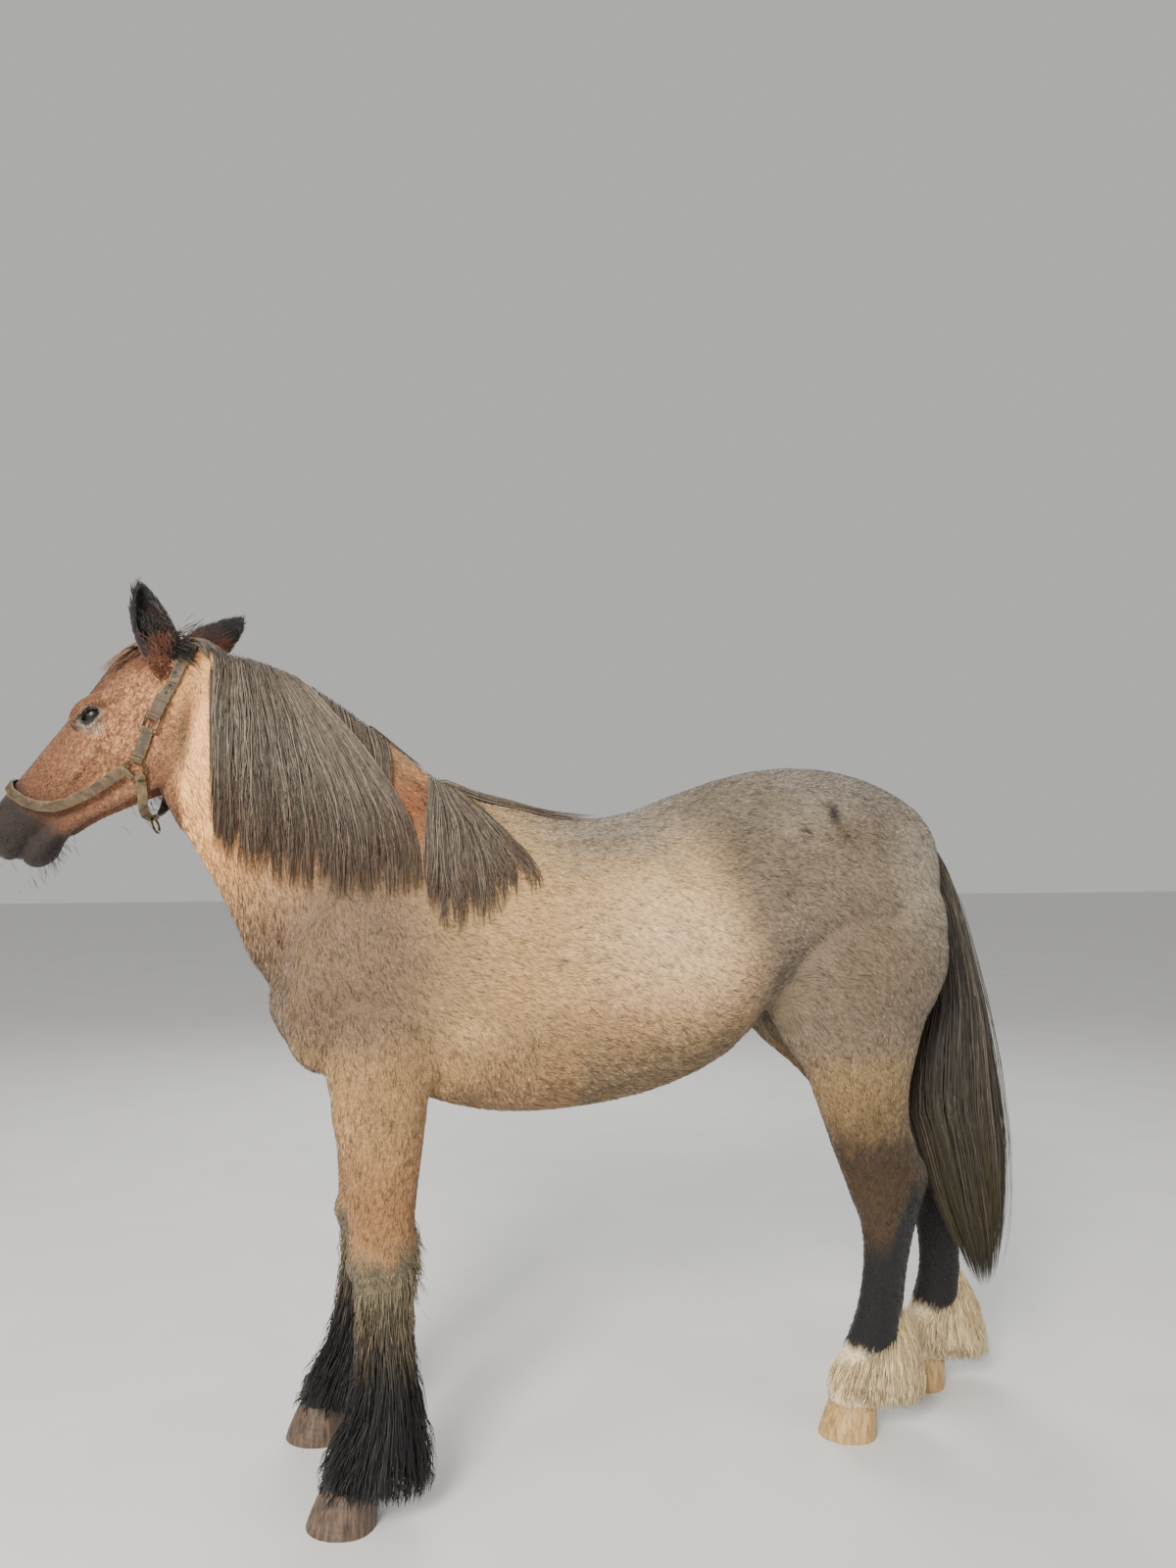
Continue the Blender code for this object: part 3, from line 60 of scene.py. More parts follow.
# How far back each leg stands at a few heights, for the left and the right side.
FORE_SHIFT = {-1: [(1.2, 0.0), (0.0, 0.0)], 1: [(1.2, 0.0), (0.9, 0.012), (0.55, -0.010), (0.0, -0.048)]}
HIND_SHIFT = {
    -1: [(1.2, 0.0), (0.0, 0.0)],
    1: [(1.2, 0.0), (0.9, 0.09), (0.6, 0.22), (0.3, 0.28), (0.0, 0.31)],
}
SIDES = {-1: "left", 1: "right"}

SKIN_VOXEL = 0.0045
SKIN_TRIANGLES = 165000
COAT_DEPTH = 0.003
TUFTS = 182000
LARGEST_PIECE = 190000
# The side of a tuft's or strand's patch on the bake map, and how many faces the map's copy of the skin has.
PATCH = 0.003
UNWRAP_FACES = 9000

# The camera: where it stands, its way in degrees from +Y and up from level, and its lens in millimetres.
CAMERA_AT = (-0.820, -2.811, 1.42)
CAMERA_TURN = 14
CAMERA_PITCH = 3.1
CAMERA_LENS = 27.05
CAMERA_SENSOR = 36
WORLD_TONE = (0.90, 0.89, 0.87, 1)
WORLD_STRENGTH = 0.58

# Each ear: its side, where its base lies, the way to its tip and the way it opens, in the head's frame.
EARS = [
    ("left_ear", -1, (-0.032, -0.059, -0.078), (0.088, -0.030, 0.145), (0.30, -0.90, -0.15)),
    ("right_ear", 1, (-0.021, 0.064, -0.070), (0.166, 0.059, -0.022), (0.1, 0.8, 0.6)),
]

FULLNESS = 1.0


def tone(code):
    """A colour written as a painter's hex code, as linear red, green and blue."""
    values = [int(code[k : k + 2], 16) / 255 for k in (0, 2, 4)]
    return np.array([v / 12.92 if v < 0.04045 else ((v + 0.055) / 1.055) ** 2.4 for v in values])


# The coat's colours.
BARREL = tone("b09064")
PINK_ROAN = tone("9c7450")
BELLY = tone("7a674b")
SHOULDER = tone("705a45")
CROUP = tone("6e6152")
BACK_GREY = tone("7f766a")
HAUNCH = tone("6a5b48")
FLANK_CREAM = tone("d0b18a")
RUMP_PALE = tone("958b7b")
# The neck's cream, lighter than its own colour by painted sunlight.
SUNLIT_CREAM = tone("f2b577")
NECK_TAN = tone("a57f5b")
NECK_RED = tone("915c3c")
HEAD_BROWN = tone("744a32")
HEAD_DARK = tone("543524")
HEAD_FLECK = tone("d99f70")
MUZZLE = tone("231e1d")
EYE_RIM = tone("c9bcaa")
EYE_SKIN = tone("2b2524")
EAR_RED = tone("603725")
EAR_BLACK = tone("191718")
FOREARM = tone("9c7a52")
KNEE_RED = tone("845a36")
CANNON_GREY = tone("655a46")
LEG_BLACK = tone("19181a")
GASKIN_TAN = tone("7d6544")
HOCK_BROWN = tone("413120")
SOCK_CREAM = tone("dfcca6")
HIND_GAP_SHADE = tone("4a4340")
MANE_SHADE = tone("2f2822")
MARK_DARK = tone("2a2420")

# Dark smudges on the near side: centre, radii and weight.
MARKS = [
    ((0.415, -0.25, 1.500), (0.022, 0.2, 0.050), 0.75),
    ((0.435, -0.25, 1.450), (0.014, 0.2, 0.035), 0.60),
    ((0.340, -0.27, 1.458), (0.018, 0.2, 0.024), 0.75),
    ((0.285, -0.28, 1.318), (0.024, 0.2, 0.018), 0.70),
    ((-0.262, -0.33, 1.178), (0.020, 0.2, 0.010), 0.45),
    ((-0.305, -0.33, 0.995), (0.026, 0.2, 0.010), 0.55),
    ((0.20, -0.25, 1.46), (0.090, 0.2, 0.075), 0.16),
]


def fade(values, low, high):
    """0 below low and 1 above high, with a soft step between."""
    share = np.clip((np.asarray(values, float) - low) / (high - low), 0, 1)
    return share * share * (3 - 2 * share)


def near(points, centre, radii):
    """1 at the centre of a soft patch and 0 from its radii on."""
    reach = np.sqrt((((points - np.array(centre)) / np.array(radii)) ** 2).sum(axis=1))
    return 1 - fade(reach, 0.0, 1.0)


def mottle(points, size, seed):
    """Smooth noise from -1 to 1 with patches of about this size."""
    cells = np.asarray(points, float) / size + seed * 17.31
    base = np.floor(cells).astype(np.int64)
    part = cells - base
    ease = part * part * (3 - 2 * part)
    total = np.zeros(len(cells))
    for corner in range(8):
        step = np.array([(corner >> k) & 1 for k in range(3)])
        spot = base + step
        mix = (spot[:, 0] * 73856093) ^ (spot[:, 1] * 19349663) ^ (spot[:, 2] * 83492791) ^ (seed * 97531)
        mix = (mix ^ (mix >> 13)) * 1274126177
        value = ((mix ^ (mix >> 16)) & 0xFFFF) / 32767.5 - 1
        total += value * np.prod(np.where(step, ease, 1 - ease), axis=1)
    return total


def blend_along(rows, count):
    """Rows of numbers resampled to count rows on a smooth curve through them."""
    rows = np.array(rows, float)
    padded = np.vstack([2 * rows[0] - rows[1], rows, 2 * rows[-1] - rows[-2]])
    made = []
    for place in np.linspace(0, len(rows) - 1, count):
        i = min(int(place), len(rows) - 2)
        t = place - i
        a, b, c, d = padded[i : i + 4]
        bend = (2 * a - 5 * b + 4 * c - d) * t**2
        twist = (3 * b - a - 3 * c + d) * t**3
        made.append(0.5 * (2 * b + (c - a) * t + bend + twist))
    return np.array(made)


def new_object(name, bm, matrix=None):
    """A mesh object from bm, with the matrix applied and its faces pointing out."""
    if matrix is not None:
        bmesh.ops.transform(bm, matrix=matrix, verts=bm.verts)
    bmesh.ops.recalc_face_normals(bm, faces=bm.faces)
    mesh = bpy.data.meshes.new(name)
    bm.to_mesh(mesh)
    bm.free()
    piece = bpy.data.objects.new(name, mesh)
    bpy.context.scene.collection.objects.link(piece)
    return piece


def settle(piece):
    """Applies a piece's modifiers to its mesh."""
    graph = bpy.context.evaluated_depsgraph_get()
    mesh = bpy.data.meshes.new_from_object(piece.evaluated_get(graph))
    piece.modifiers.clear()
    piece.data = mesh
    return piece


def remove(piece):
    """Takes a piece out of the scene."""
    bpy.data.objects.remove(piece)


def smooth_shaded(piece):
    """The piece with all its faces shaded smooth."""
    piece.data.polygons.foreach_set("use_smooth", [True] * len(piece.data.polygons))
    return piece


def drawn_ball(name, stations, rings=18, sides=20, matrix=None):
    """A ball drawn out along a spine. A station is x, y, z, its radii up, down and sideways and, if given,
    how square (under 1) or pointed (over 1) the ring is above and below."""
    full = [tuple(s) + (1.0,) * (8 - len(s)) for s in stations]
    rows = blend_along(full, rings + 1)
    spine = rows[:, :3]
    run = np.gradient(spine, axis=0)
    run /= np.linalg.norm(run, axis=1)[:, None]
    side_way = np.array([0.0, 1.0, 0.0])
    bm = bmesh.new()
    bmesh.ops.create_uvsphere(bm, u_segments=sides, v_segments=rings, radius=1)
    for vert in bm.verts:
        ring = round(math.acos(max(-1.0, min(1.0, vert.co.z))) / math.pi * rings)
        around = math.atan2(vert.co.y, vert.co.x)
        up_way = np.cross(run[ring], side_way)
        up_way /= np.linalg.norm(up_way)
        up, down, wide, top_power, low_power = rows[ring, 3:8]
        if ring in (0, rings):
            up = down = wide = 0.0
        c, s = math.cos(around), math.sin(around)
        power = top_power if s > 0 else low_power
        high = math.copysign(abs(s) ** (2 - power if power < 1 else 1), s) * (up if s > 0 else down)
        out = math.copysign(abs(c) ** power, c) * wide
        vert.co = Vector(spine[ring] + up_way * high + side_way * out)
    return new_object(name, bm, matrix)


def ellipsoid(name, centre, radii, tilt=0.0, turn=0.0, matrix=None, segments=20):
    """A squashed ball, tilted about Y and then turned about Z, in degrees."""
    bm = bmesh.new()
    bmesh.ops.create_uvsphere(bm, u_segments=segments, v_segments=segments // 2 + 2, radius=1)
    place = Matrix.Translation(centre)
    place = place @ Matrix.Rotation(math.radians(turn), 4, "Z") @ Matrix.Rotation(math.radians(tilt), 4, "Y")
    place = place @ Matrix.Diagonal((*radii, 1))
    return new_object(name, bm, place if matrix is None else matrix @ place)


def block(name, low, high, matrix=None, rounded=0.0):
    """A box between two corners, with its edges rounded."""
    bm = bmesh.new()
    bmesh.ops.create_cube(bm, size=1)
    low, high = Vector(low), Vector(high)
    place = Matrix.Translation((low + high) / 2) @ Matrix.Diagonal((*(high - low), 1))
    bmesh.ops.transform(bm, matrix=place, verts=bm.verts)
    if rounded:
        edges = bm.edges[:]
        bmesh.ops.bevel(bm, geom=edges, offset=rounded, segments=3, profile=0.5, affect="EDGES", material=-1)
    return new_object(name, bm, matrix)


def combine(piece, other, operation):
    """A piece joined with or cut by another."""
    change = piece.modifiers.new(operation.lower(), "BOOLEAN")
    change.operation = operation
    change.solver = "EXACT"
    change.object = other
    settle(piece)
    remove(other)
    return piece


def joined(name, pieces):
    """Pieces gathered in one mesh as they are."""
    bm = bmesh.new()
    for piece in pieces:
        bm.from_mesh(piece.data)
        remove(piece)
    mesh = bpy.data.meshes.new(name)
    bm.to_mesh(mesh)
    bm.free()
    made = bpy.data.objects.new(name, mesh)
    bpy.context.scene.collection.objects.link(made)
    return made


def head_matrix():
    """The head's own frame: X from nose to poll, Y across, Z out of the forehead."""
    turn = Matrix.Rotation(HEAD_YAW, 4, "Z") @ Matrix.Rotation(HEAD_PITCH, 4, "Y")
    turn = turn @ Matrix.Rotation(HEAD_ROLL, 4, "X")
    return Matrix.Translation(HEAD_ORIGIN) @ turn @ Matrix.Scale(HEAD_SIZE, 4)


HEAD = head_matrix()


def torso_pieces():
    """Barrel, breast and rump. x, y, z, up, down, side, upper and lower ring power."""
    barrel = [
        (-0.846, 0, 1.15, 0.07, 0.06, 0.08),
        (-0.822, 0, 1.14, 0.17, 0.13, 0.16),
        (-0.760, 0, 1.13, 0.28, 0.20, 0.235),
        (-0.640, 0, 1.14, 0.36, 0.265, 0.265, 1.1, 1.0),
        (-0.500, 0, 1.14, 0.400, 0.300, 0.285, 1.3, 1.0),
        (-0.360, 0, 1.13, 0.400, 0.325, 0.310, 1.3, 1.0),
        (-0.220, 0, 1.12, 0.378, 0.322, 0.335, 1.15, 1.0),
        (-0.050, 0, 1.12, 0.378, 0.297, 0.350, 1.0, 1.0),
        (0.100, 0, 1.15, 0.380, 0.258, 0.345),
        (0.240, 0, 1.22, 0.364, 0.188, 0.315),
        (0.380, 0, 1.28, 0.345, 0.190, 0.295),
        (0.520, 0, 1.29, 0.328, 0.220, 0.285),
        (0.640, 0, 1.28, 0.286, 0.200, 0.250),
        (0.725, 0, 1.26, 0.220, 0.150, 0.180),
        (0.772, 0, 1.25, 0.130, 0.100, 0.100),
    ]
    pieces = [drawn_ball("barrel", barrel, rings=42, sides=36)]
    for side in SIDES:
        pieces += [
            ellipsoid("shoulder blade", (-0.600, side * 0.140, 1.28), (0.130, 0.098, 0.26), tilt=36),
            ellipsoid("shoulder point", (-0.745, side * 0.160, 1.15), (0.095, 0.085, 0.14), tilt=12),
            ellipsoid("breast", (-0.764, side * 0.085, 1.07), (0.095, 0.100, 0.15), tilt=-12),
            ellipsoid("breast front", (-0.772, side * 0.045, 1.085), (0.090, 0.085, 0.145), tilt=-6),
            ellipsoid("point of shoulder", (-0.755, side * 0.182, 1.06), (0.088, 0.080, 0.125)),
            ellipsoid("triceps", (-0.575, side * 0.190, 1.12), (0.16, 0.085, 0.18), tilt=-20),
            ellipsoid("rump", (0.44, side * 0.128, 1.39), (0.25, 0.155, 0.190), tilt=12),
            ellipsoid("hip", (0.25, side * 0.200, 1.40), (0.08, 0.06, 0.08)),
            ellipsoid("haunch", (0.595, side * 0.150, 1.21), (0.165, 0.125, 0.21), tilt=8),
            ellipsoid("girth", (-0.45, side * 0.13, 0.97), (0.16, 0.11, 0.12)),
        ]
    return pieces


def neck_pieces():
    """The neck, from the poll back to the shoulders, and its crest."""
    neck = [
        (-1.085, 0.03, 1.765, 0.06, 0.10, 0.065),
        (-1.045, 0.025, 1.74, 0.130, 0.155, 0.092),
        (-0.975, 0.015, 1.67, 0.190, 0.190, 0.108),
        (-0.87, 0.005, 1.565, 0.222, 0.225, 0.126),
        (-0.76, 0, 1.46, 0.240, 0.275, 0.150),
        (-0.65, 0, 1.35, 0.260, 0.325, 0.190),
        (-0.52, 0, 1.24, 0.25, 0.29, 0.22),
    ]
    crest = [
        (-1.06, 0.02, 1.836, 0.035, 0.05, 0.035),
        (-0.94, 0.01, 1.820, 0.045, 0.06, 0.045),
        (-0.78, 0, 1.740, 0.05, 0.07, 0.048),
        (-0.64, 0, 1.637, 0.05, 0.07, 0.052),
        (-0.50, 0, 1.537, 0.045, 0.08, 0.06),
        (-0.38, 0, 1.49, 0.045, 0.08, 0.07),
    ]
    return [drawn_ball("neck", neck, rings=26, sides=30), drawn_ball("crest", crest, rings=20, sides=16)]


def shifted(side, table, z):
    """How far back a leg's points at height z stand from the plain pose."""
    heights = [row[0] for row in table[side]][::-1]
    moves = [row[1] for row in table[side]][::-1]
    return np.interp(z, heights, moves)


def leg_stations(side, rows, shift):
    """Stations down a leg from rows of height, front x, back x, distance out and half width."""
    made = []
    for z, front, back, out, wide in rows:
        x = (front + back) / 2 + shifted(side, shift, z)
        half = (back - front) / 2
        made.append((x, side * out, z, half, half, wide, 0.95, 0.95))
    return made


def foreleg_pieces(side):
    """One foreleg, from the elbow down to the hoof."""
    rows = [
        (1.10, -0.76, -0.50, 0.190, 0.085),
        (1.00, -0.765, -0.505, 0.195, 0.092),
        (0.90, -0.742, -0.522, FORE_Y, 0.088),
        (0.80, -0.728, -0.533, FORE_Y, 0.080),
        (0.70, -0.712, -0.545, FORE_Y, 0.070),
        (0.61, -0.700, -0.553, FORE_Y, 0.061),
        (0.54, -0.694, -0.553, FORE_Y, 0.062),
        (0.47, -0.684, -0.558, FORE_Y, 0.056),
        (0.39, -0.670, -0.566, FORE_Y, 0.044),
        (0.29, -0.667, -0.566, FORE_Y, 0.042),
        (0.215, -0.680, -0.558, FORE_Y, 0.053),
        (0.155, -0.715, -0.590, FORE_Y, 0.052),
        (0.105, -0.745, -0.603, FORE_Y, 0.064),
        (0.05, -0.755, -0.620, FORE_Y, 0.066),
    ]
    stations = leg_stations(side, rows, FORE_SHIFT)
    shin = shifted(side, FORE_SHIFT, 0.54)
    return [
        drawn_ball("foreleg", stations, rings=44, sides=20),
        ellipsoid("forearm", (-0.665, side * (FORE_Y + 0.012), 0.88), (0.075, 0.075, 0.14)),
        ellipsoid("elbow", (-0.545, side * FORE_Y, 0.96), (0.05, 0.055, 0.07)),
        ellipsoid("knee", (-0.655 + shin, side * FORE_Y, 0.535), (0.050, 0.062, 0.055)),
        ellipsoid("knee back", (-0.572 + shin, side * (FORE_Y - 0.005), 0.560), (0.028, 0.038, 0.070)),
        ellipsoid("fetlock", (-0.60 + shin * 1.4, side * FORE_Y, 0.215), (0.055, 0.052, 0.042)),
    ]


def hindleg_pieces(side):
    """One hind leg, from the stifle down to the hoof."""
    rows = [
        (1.28, 0.30, 0.775, 0.150, 0.135),
        (1.15, 0.265, 0.755, 0.160, 0.140),
        (1.03, 0.295, 0.722, 0.160, 0.125),
        (0.92, 0.372, 0.682, 0.150, 0.103),
        (0.82, 0.418, 0.664, 0.138, 0.083),
        (0.72, 0.458, 0.672, 0.128, 0.066),
        (0.63, 0.495, 0.704, 0.120, 0.054),
        (0.565, 0.520, 0.716, 0.116, 0.056),
        (0.50, 0.548, 0.700, HIND_Y, 0.054),
        (0.42, 0.556, 0.680, HIND_Y, 0.043),
        (0.32, 0.545, 0.664, HIND_Y, 0.040),
        (0.235, 0.522, 0.650, HIND_Y, 0.052),
        (0.165, 0.488, 0.610, HIND_Y, 0.050),
        (0.105, 0.462, 0.598, HIND_Y, 0.060),
        (0.05, 0.452, 0.585, HIND_Y, 0.062),
    ]
    stations = leg_stations(side, rows, HIND_SHIFT)
    hock = shifted(side, HIND_SHIFT, 0.6)
    low = shifted(side, HIND_SHIFT, 0.23)
    stifle = shifted(side, HIND_SHIFT, 1.02)
    return [
        drawn_ball("hind leg", stations, rings=48, sides=22),
        ellipsoid("stifle", (0.362 + stifle, side * 0.165, 1.08), (0.075, 0.072, 0.11), tilt=20),
        ellipsoid("hock point", (0.700 + hock, side * 0.116, 0.615), (0.024, 0.026, 0.055), tilt=-12),
        ellipsoid("hock", (0.600 + hock, side * 0.114, 0.545), (0.062, 0.058, 0.055)),
        ellipsoid("fetlock", (0.595 + low, side * HIND_Y, 0.235), (0.058, 0.052, 0.044)),
    ]


def head_pieces(matrix):
    """Skull, jaws, muzzle, brows and lids, in the head's own frame."""
    skull = [
        (-0.575, 0, -0.085, 0.020, 0.022, 0.026),
        (-0.555, 0, -0.075, 0.045, 0.045, 0.046),
        (-0.520, 0, -0.068, 0.055, 0.060, 0.054, 0.95, 0.9),
        (-0.470, 0, -0.065, 0.058, 0.062, 0.050),
        (-0.410, 0, -0.070, 0.066, 0.072, 0.050),
        (-0.340, 0, -0.080, 0.080, 0.082, 0.058, 0.9, 1.0),
        (-0.270, 0, -0.092, 0.094, 0.090, 0.073, 0.85, 1.0),
        (-0.200, 0, -0.105, 0.112, 0.098, 0.087, 0.85, 1.0),
        (-0.130, 0, -0.118, 0.130, 0.100, 0.088, 0.9, 1.0),
        (-0.060, 0, -0.135, 0.114, 0.095, 0.080),
        (0.000, 0, -0.155, 0.074, 0.085, 0.068),
        (0.035, 0, -0.175, 0.035, 0.045, 0.045),
    ]
    lower_lip = [
        (-0.545, 0, -0.140, 0.010, 0.012, 0.020),
        (-0.530, 0, -0.140, 0.024, 0.024, 0.036),
        (-0.500, 0, -0.142, 0.032, 0.030, 0.040),
        (-0.460, 0, -0.140, 0.030, 0.022, 0.034),
        (-0.400, 0, -0.140, 0.030, 0.020, 0.030),
    ]
    pieces = [
        drawn_ball("skull", skull, rings=34, sides=28, matrix=matrix),
        drawn_ball("lower lip", lower_lip, rings=14, sides=18, matrix=matrix),
    ]
    lid = EYE_RADIUS / HEAD_SIZE + 0.0035
    for side in SIDES:
        jaw = [
            (-0.470, side * 0.018, -0.138, 0.020, 0.020, 0.016),
            (-0.380, side * 0.028, -0.152, 0.030, 0.028, 0.018),
            (-0.290, side * 0.044, -0.176, 0.050, 0.042, 0.022),
            (-0.220, side * 0.056, -0.188, 0.070, 0.062, 0.028),
            (-0.160, side * 0.061, -0.180, 0.075, 0.064, 0.032),
            (-0.110, side * 0.064, -0.160, 0.065, 0.052, 0.032),
            (-0.070, side * 0.064, -0.138, 0.045, 0.040, 0.030),
            (-0.045, side * 0.062, -0.122, 0.025, 0.025, 0.018),
        ]
        brow = [
            (-0.265, side * 0.060, -0.040, 0.012, 0.016, 0.016),
            (-0.235, side * 0.078, -0.034, 0.016, 0.018, 0.020),
            (-0.205, side * 0.083, -0.034, 0.017, 0.018, 0.022),
            (-0.165, side * 0.078, -0.050, 0.016, 0.018, 0.020),
            (-0.120, side * 0.070, -0.080, 0.012, 0.016, 0.014),
        ]
        cheek_bone = [
            (-0.365, side * 0.050, -0.098, 0.006, 0.010, 0.008),
            (-0.300, side * 0.064, -0.100, 0.009, 0.014, 0.011),
            (-0.230, side * 0.077, -0.100, 0.012, 0.016, 0.013),
            (-0.160, side * 0.080, -0.098, 0.012, 0.016, 0.013),
            (-0.090, side * 0.072, -0.110, 0.012, 0.016, 0.011),
        ]
        nostril_rim = [
            (-0.478, side * 0.042, -0.030, 0.006, 0.008, 0.007),
            (-0.505, side * 0.045, -0.028, 0.010, 0.010, 0.011),
            (-0.532, side * 0.044, -0.036, 0.011, 0.010, 0.013),
            (-0.552, side * 0.040, -0.056, 0.010, 0.010, 0.013),
            (-0.552, side * 0.038, -0.078, 0.009, 0.009, 0.011),
        ]
        centre = (EYE_AT.x, side * EYE_AT.y, EYE_AT.z)
        pieces += [
            drawn_ball("jaw", jaw, rings=20, sides=16, matrix=matrix),
            drawn_ball("brow", brow, rings=12, sides=12, matrix=matrix),
            drawn_ball("cheek bone", cheek_bone, rings=12, sides=12, matrix=matrix),
            drawn_ball("nostril rim", nostril_rim, rings=12, sides=12, matrix=matrix),
            ellipsoid("cheek", (-0.180, side * 0.064, -0.165), (0.085, 0.034, 0.075), tilt=-30,
                      matrix=matrix),
            ellipsoid("ear root", (-0.030, side * 0.052, -0.112), (0.045, 0.032, 0.048), matrix=matrix),
            ellipsoid("upper lip", (-0.530, side * 0.024, -0.098), (0.034, 0.028, 0.026), matrix=matrix),
            ellipsoid("lids", centre, (lid * 1.3, lid, lid * 1.15), matrix=matrix),
        ]
    return pieces


def mouth_line(rows, matrix):
    """A thin blade bent round the muzzle, wide across its own path and only a few millimetres high."""
    rings = 36
    made = blend_along([row[:3] for row in rows], rings + 1)
    sizes = blend_along([row[3:] for row in rows], rings + 1)
    bm = bmesh.new()
    bmesh.ops.create_uvsphere(bm, u_segments=8, v_segments=rings, radius=1)
    run = np.gradient(made, axis=0)
    for vert in bm.verts:
        ring = round(math.acos(max(-1.0, min(1.0, vert.co.z))) / math.pi * rings)
        around = math.atan2(vert.co.y, vert.co.x)
        out = Vector((run[ring][1], -run[ring][0], 0)).normalized()
        if ring in (0, rings):
            vert.co = Vector(made[ring])
            continue
        rise = math.sin(around) * sizes[ring][0]
        vert.co = Vector(made[ring]) + out * math.cos(around) * sizes[ring][2] + Vector((0, 0, rise))
    return new_object("mouth line", bm, matrix)


def face_cuts():
    """The cutters of the mouth, the nostrils, the eye sockets and the openings of the lids."""
    lips = [
        (-0.425, -0.070, -0.124, 0.001, 0.001, 0.002),
        (-0.450, -0.058, -0.124, 0.002, 0.002, 0.018),
        (-0.500, -0.056, -0.121, 0.002, 0.002, 0.018),
        (-0.545, -0.042, -0.119, 0.002, 0.002, 0.016),
        (-0.572, 0.000, -0.119, 0.002, 0.002, 0.016),
        (-0.545, 0.042, -0.119, 0.002, 0.002, 0.016),
        (-0.500, 0.056, -0.121, 0.002, 0.002, 0.018),
        (-0.450, 0.058, -0.124, 0.002, 0.002, 0.018),
        (-0.425, 0.070, -0.124, 0.001, 0.001, 0.002),
    ]
    cuts = [mouth_line(lips, HEAD)]
    for side in SIDES:
        nostril = [
            (-0.500, side * 0.054, -0.034, 0.003, 0.003, 0.008),
            (-0.514, side * 0.050, -0.038, 0.008, 0.008, 0.016),
            (-0.532, side * 0.048, -0.052, 0.009, 0.009, 0.017),
            (-0.545, side * 0.046, -0.070, 0.008, 0.008, 0.016),
            (-0.549, side * 0.048, -0.082, 0.003, 0.003, 0.008),
        ]
        cuts.append(drawn_ball("nostril", nostril, rings=18, sides=18, matrix=HEAD))
        eye = Vector((EYE_AT.x, side * EYE_AT.y, EYE_AT.z))
        socket = EYE_RADIUS / HEAD_SIZE + 0.0004
        cuts.append(ellipsoid("socket", eye, (socket, socket, socket), matrix=HEAD, segments=36))
        slit = eye + Vector((0, side * 0.026, 0.001))
        cuts.append(ellipsoid("lid opening", slit, (0.0240, 0.026, 0.0098), tilt=24, matrix=HEAD,
                              segments=36))
    return cuts


def ear_frame(base, tip_way, open_way):
    """The ear's own frame: X to its open side, Z to its tip."""
    along = Vector(tip_way).normalized()
    mouth = Vector(open_way)
    mouth = (mouth - along * mouth.dot(along)).normalized()
    turned = Matrix((mouth, along.cross(mouth), along)).transposed().to_4x4()
    return HEAD @ Matrix.Translation(base) @ turned


def ear(place):
    """A cupped ear, hollow towards its own +X."""
    shell = [
        (0.000, 0, -0.035, 0.010, 0.012, 0.013),
        (0.000, 0, -0.008, 0.027, 0.028, 0.032),
        (-0.001, 0, 0.025, 0.032, 0.031, 0.038),
        (-0.004, 0, 0.060, 0.031, 0.030, 0.039),
        (-0.005, 0, 0.092, 0.026, 0.026, 0.034),
        (-0.002, 0, 0.122, 0.018, 0.020, 0.025),
        (0.004, 0, 0.143, 0.010, 0.012, 0.015),
        (0.011, 0, 0.158, 0.002, 0.003, 0.004),
    ]
    hollow = [
        (0.026, 0, 0.000, 0.004, 0.004, 0.004),
        (0.020, 0, 0.014, 0.018, 0.016, 0.015),
        (0.014, 0, 0.045, 0.034, 0.026, 0.029),
        (0.011, 0, 0.075, 0.037, 0.027, 0.030),
        (0.010, 0, 0.103, 0.033, 0.023, 0.024),
        (0.013, 0, 0.130, 0.022, 0.014, 0.015),
        (0.020, 0, 0.146, 0.006, 0.005, 0.004),
    ]
    made = drawn_ball("ear", shell, rings=34, sides=36, matrix=place)
    return combine(made, drawn_ball("hollow", hollow, rings=30, sides=32, matrix=place), "DIFFERENCE")


def weigh(piece, name, weights):
    """A vertex group with one weight for each point."""
    group = piece.vertex_groups.new(name=name)
    steps = np.round(np.clip(weights, 0, 1) * 20).astype(int)
    for step in np.unique(steps):
        if step:
            group.add(np.flatnonzero(steps == step).tolist(), step / 20, "REPLACE")
    return group


def points_of(mesh):
    """A mesh's points as rows of x, y and z."""
    spots = np.empty(len(mesh.vertices) * 3, np.float32)
    mesh.vertices.foreach_get("co", spots)
    return spots.reshape(-1, 3).astype(float)


def normals_of(mesh):
    """The normals of a mesh's points."""
    ways = np.empty(len(mesh.vertices) * 3, np.float32)
    mesh.vertices.foreach_get("normal", ways)
    return ways.reshape(-1, 3).astype(float)


def triangles_of(mesh):
    """A mesh's triangles as rows of three point numbers."""
    mesh.calc_loop_triangles()
    corners = np.empty(len(mesh.loop_triangles) * 3, np.int32)
    mesh.loop_triangles.foreach_get("vertices", corners)
    return corners.reshape(-1, 3)


def in_head(points):
    """Points in the head's own frame."""
    back = np.array(HEAD.inverted())
    return points @ back[:3, :3].T + back[:3, 3]


def head_share(points):
    """1 on the head and 0 on the neck and the rest."""
    local = in_head(points)
    ahead = fade(-local[:, 0], -0.03, 0.07)
    jaw_line = ([-0.27, -0.19, -0.126, -0.06, 0.0], [-0.33, -0.268, -0.238, -0.198, -0.155])
    edge = np.interp(local[:, 0], *jaw_line)
    return ahead * fade(local[:, 2] - edge, -0.014, 0.014) * (points[:, 0] < -0.9)


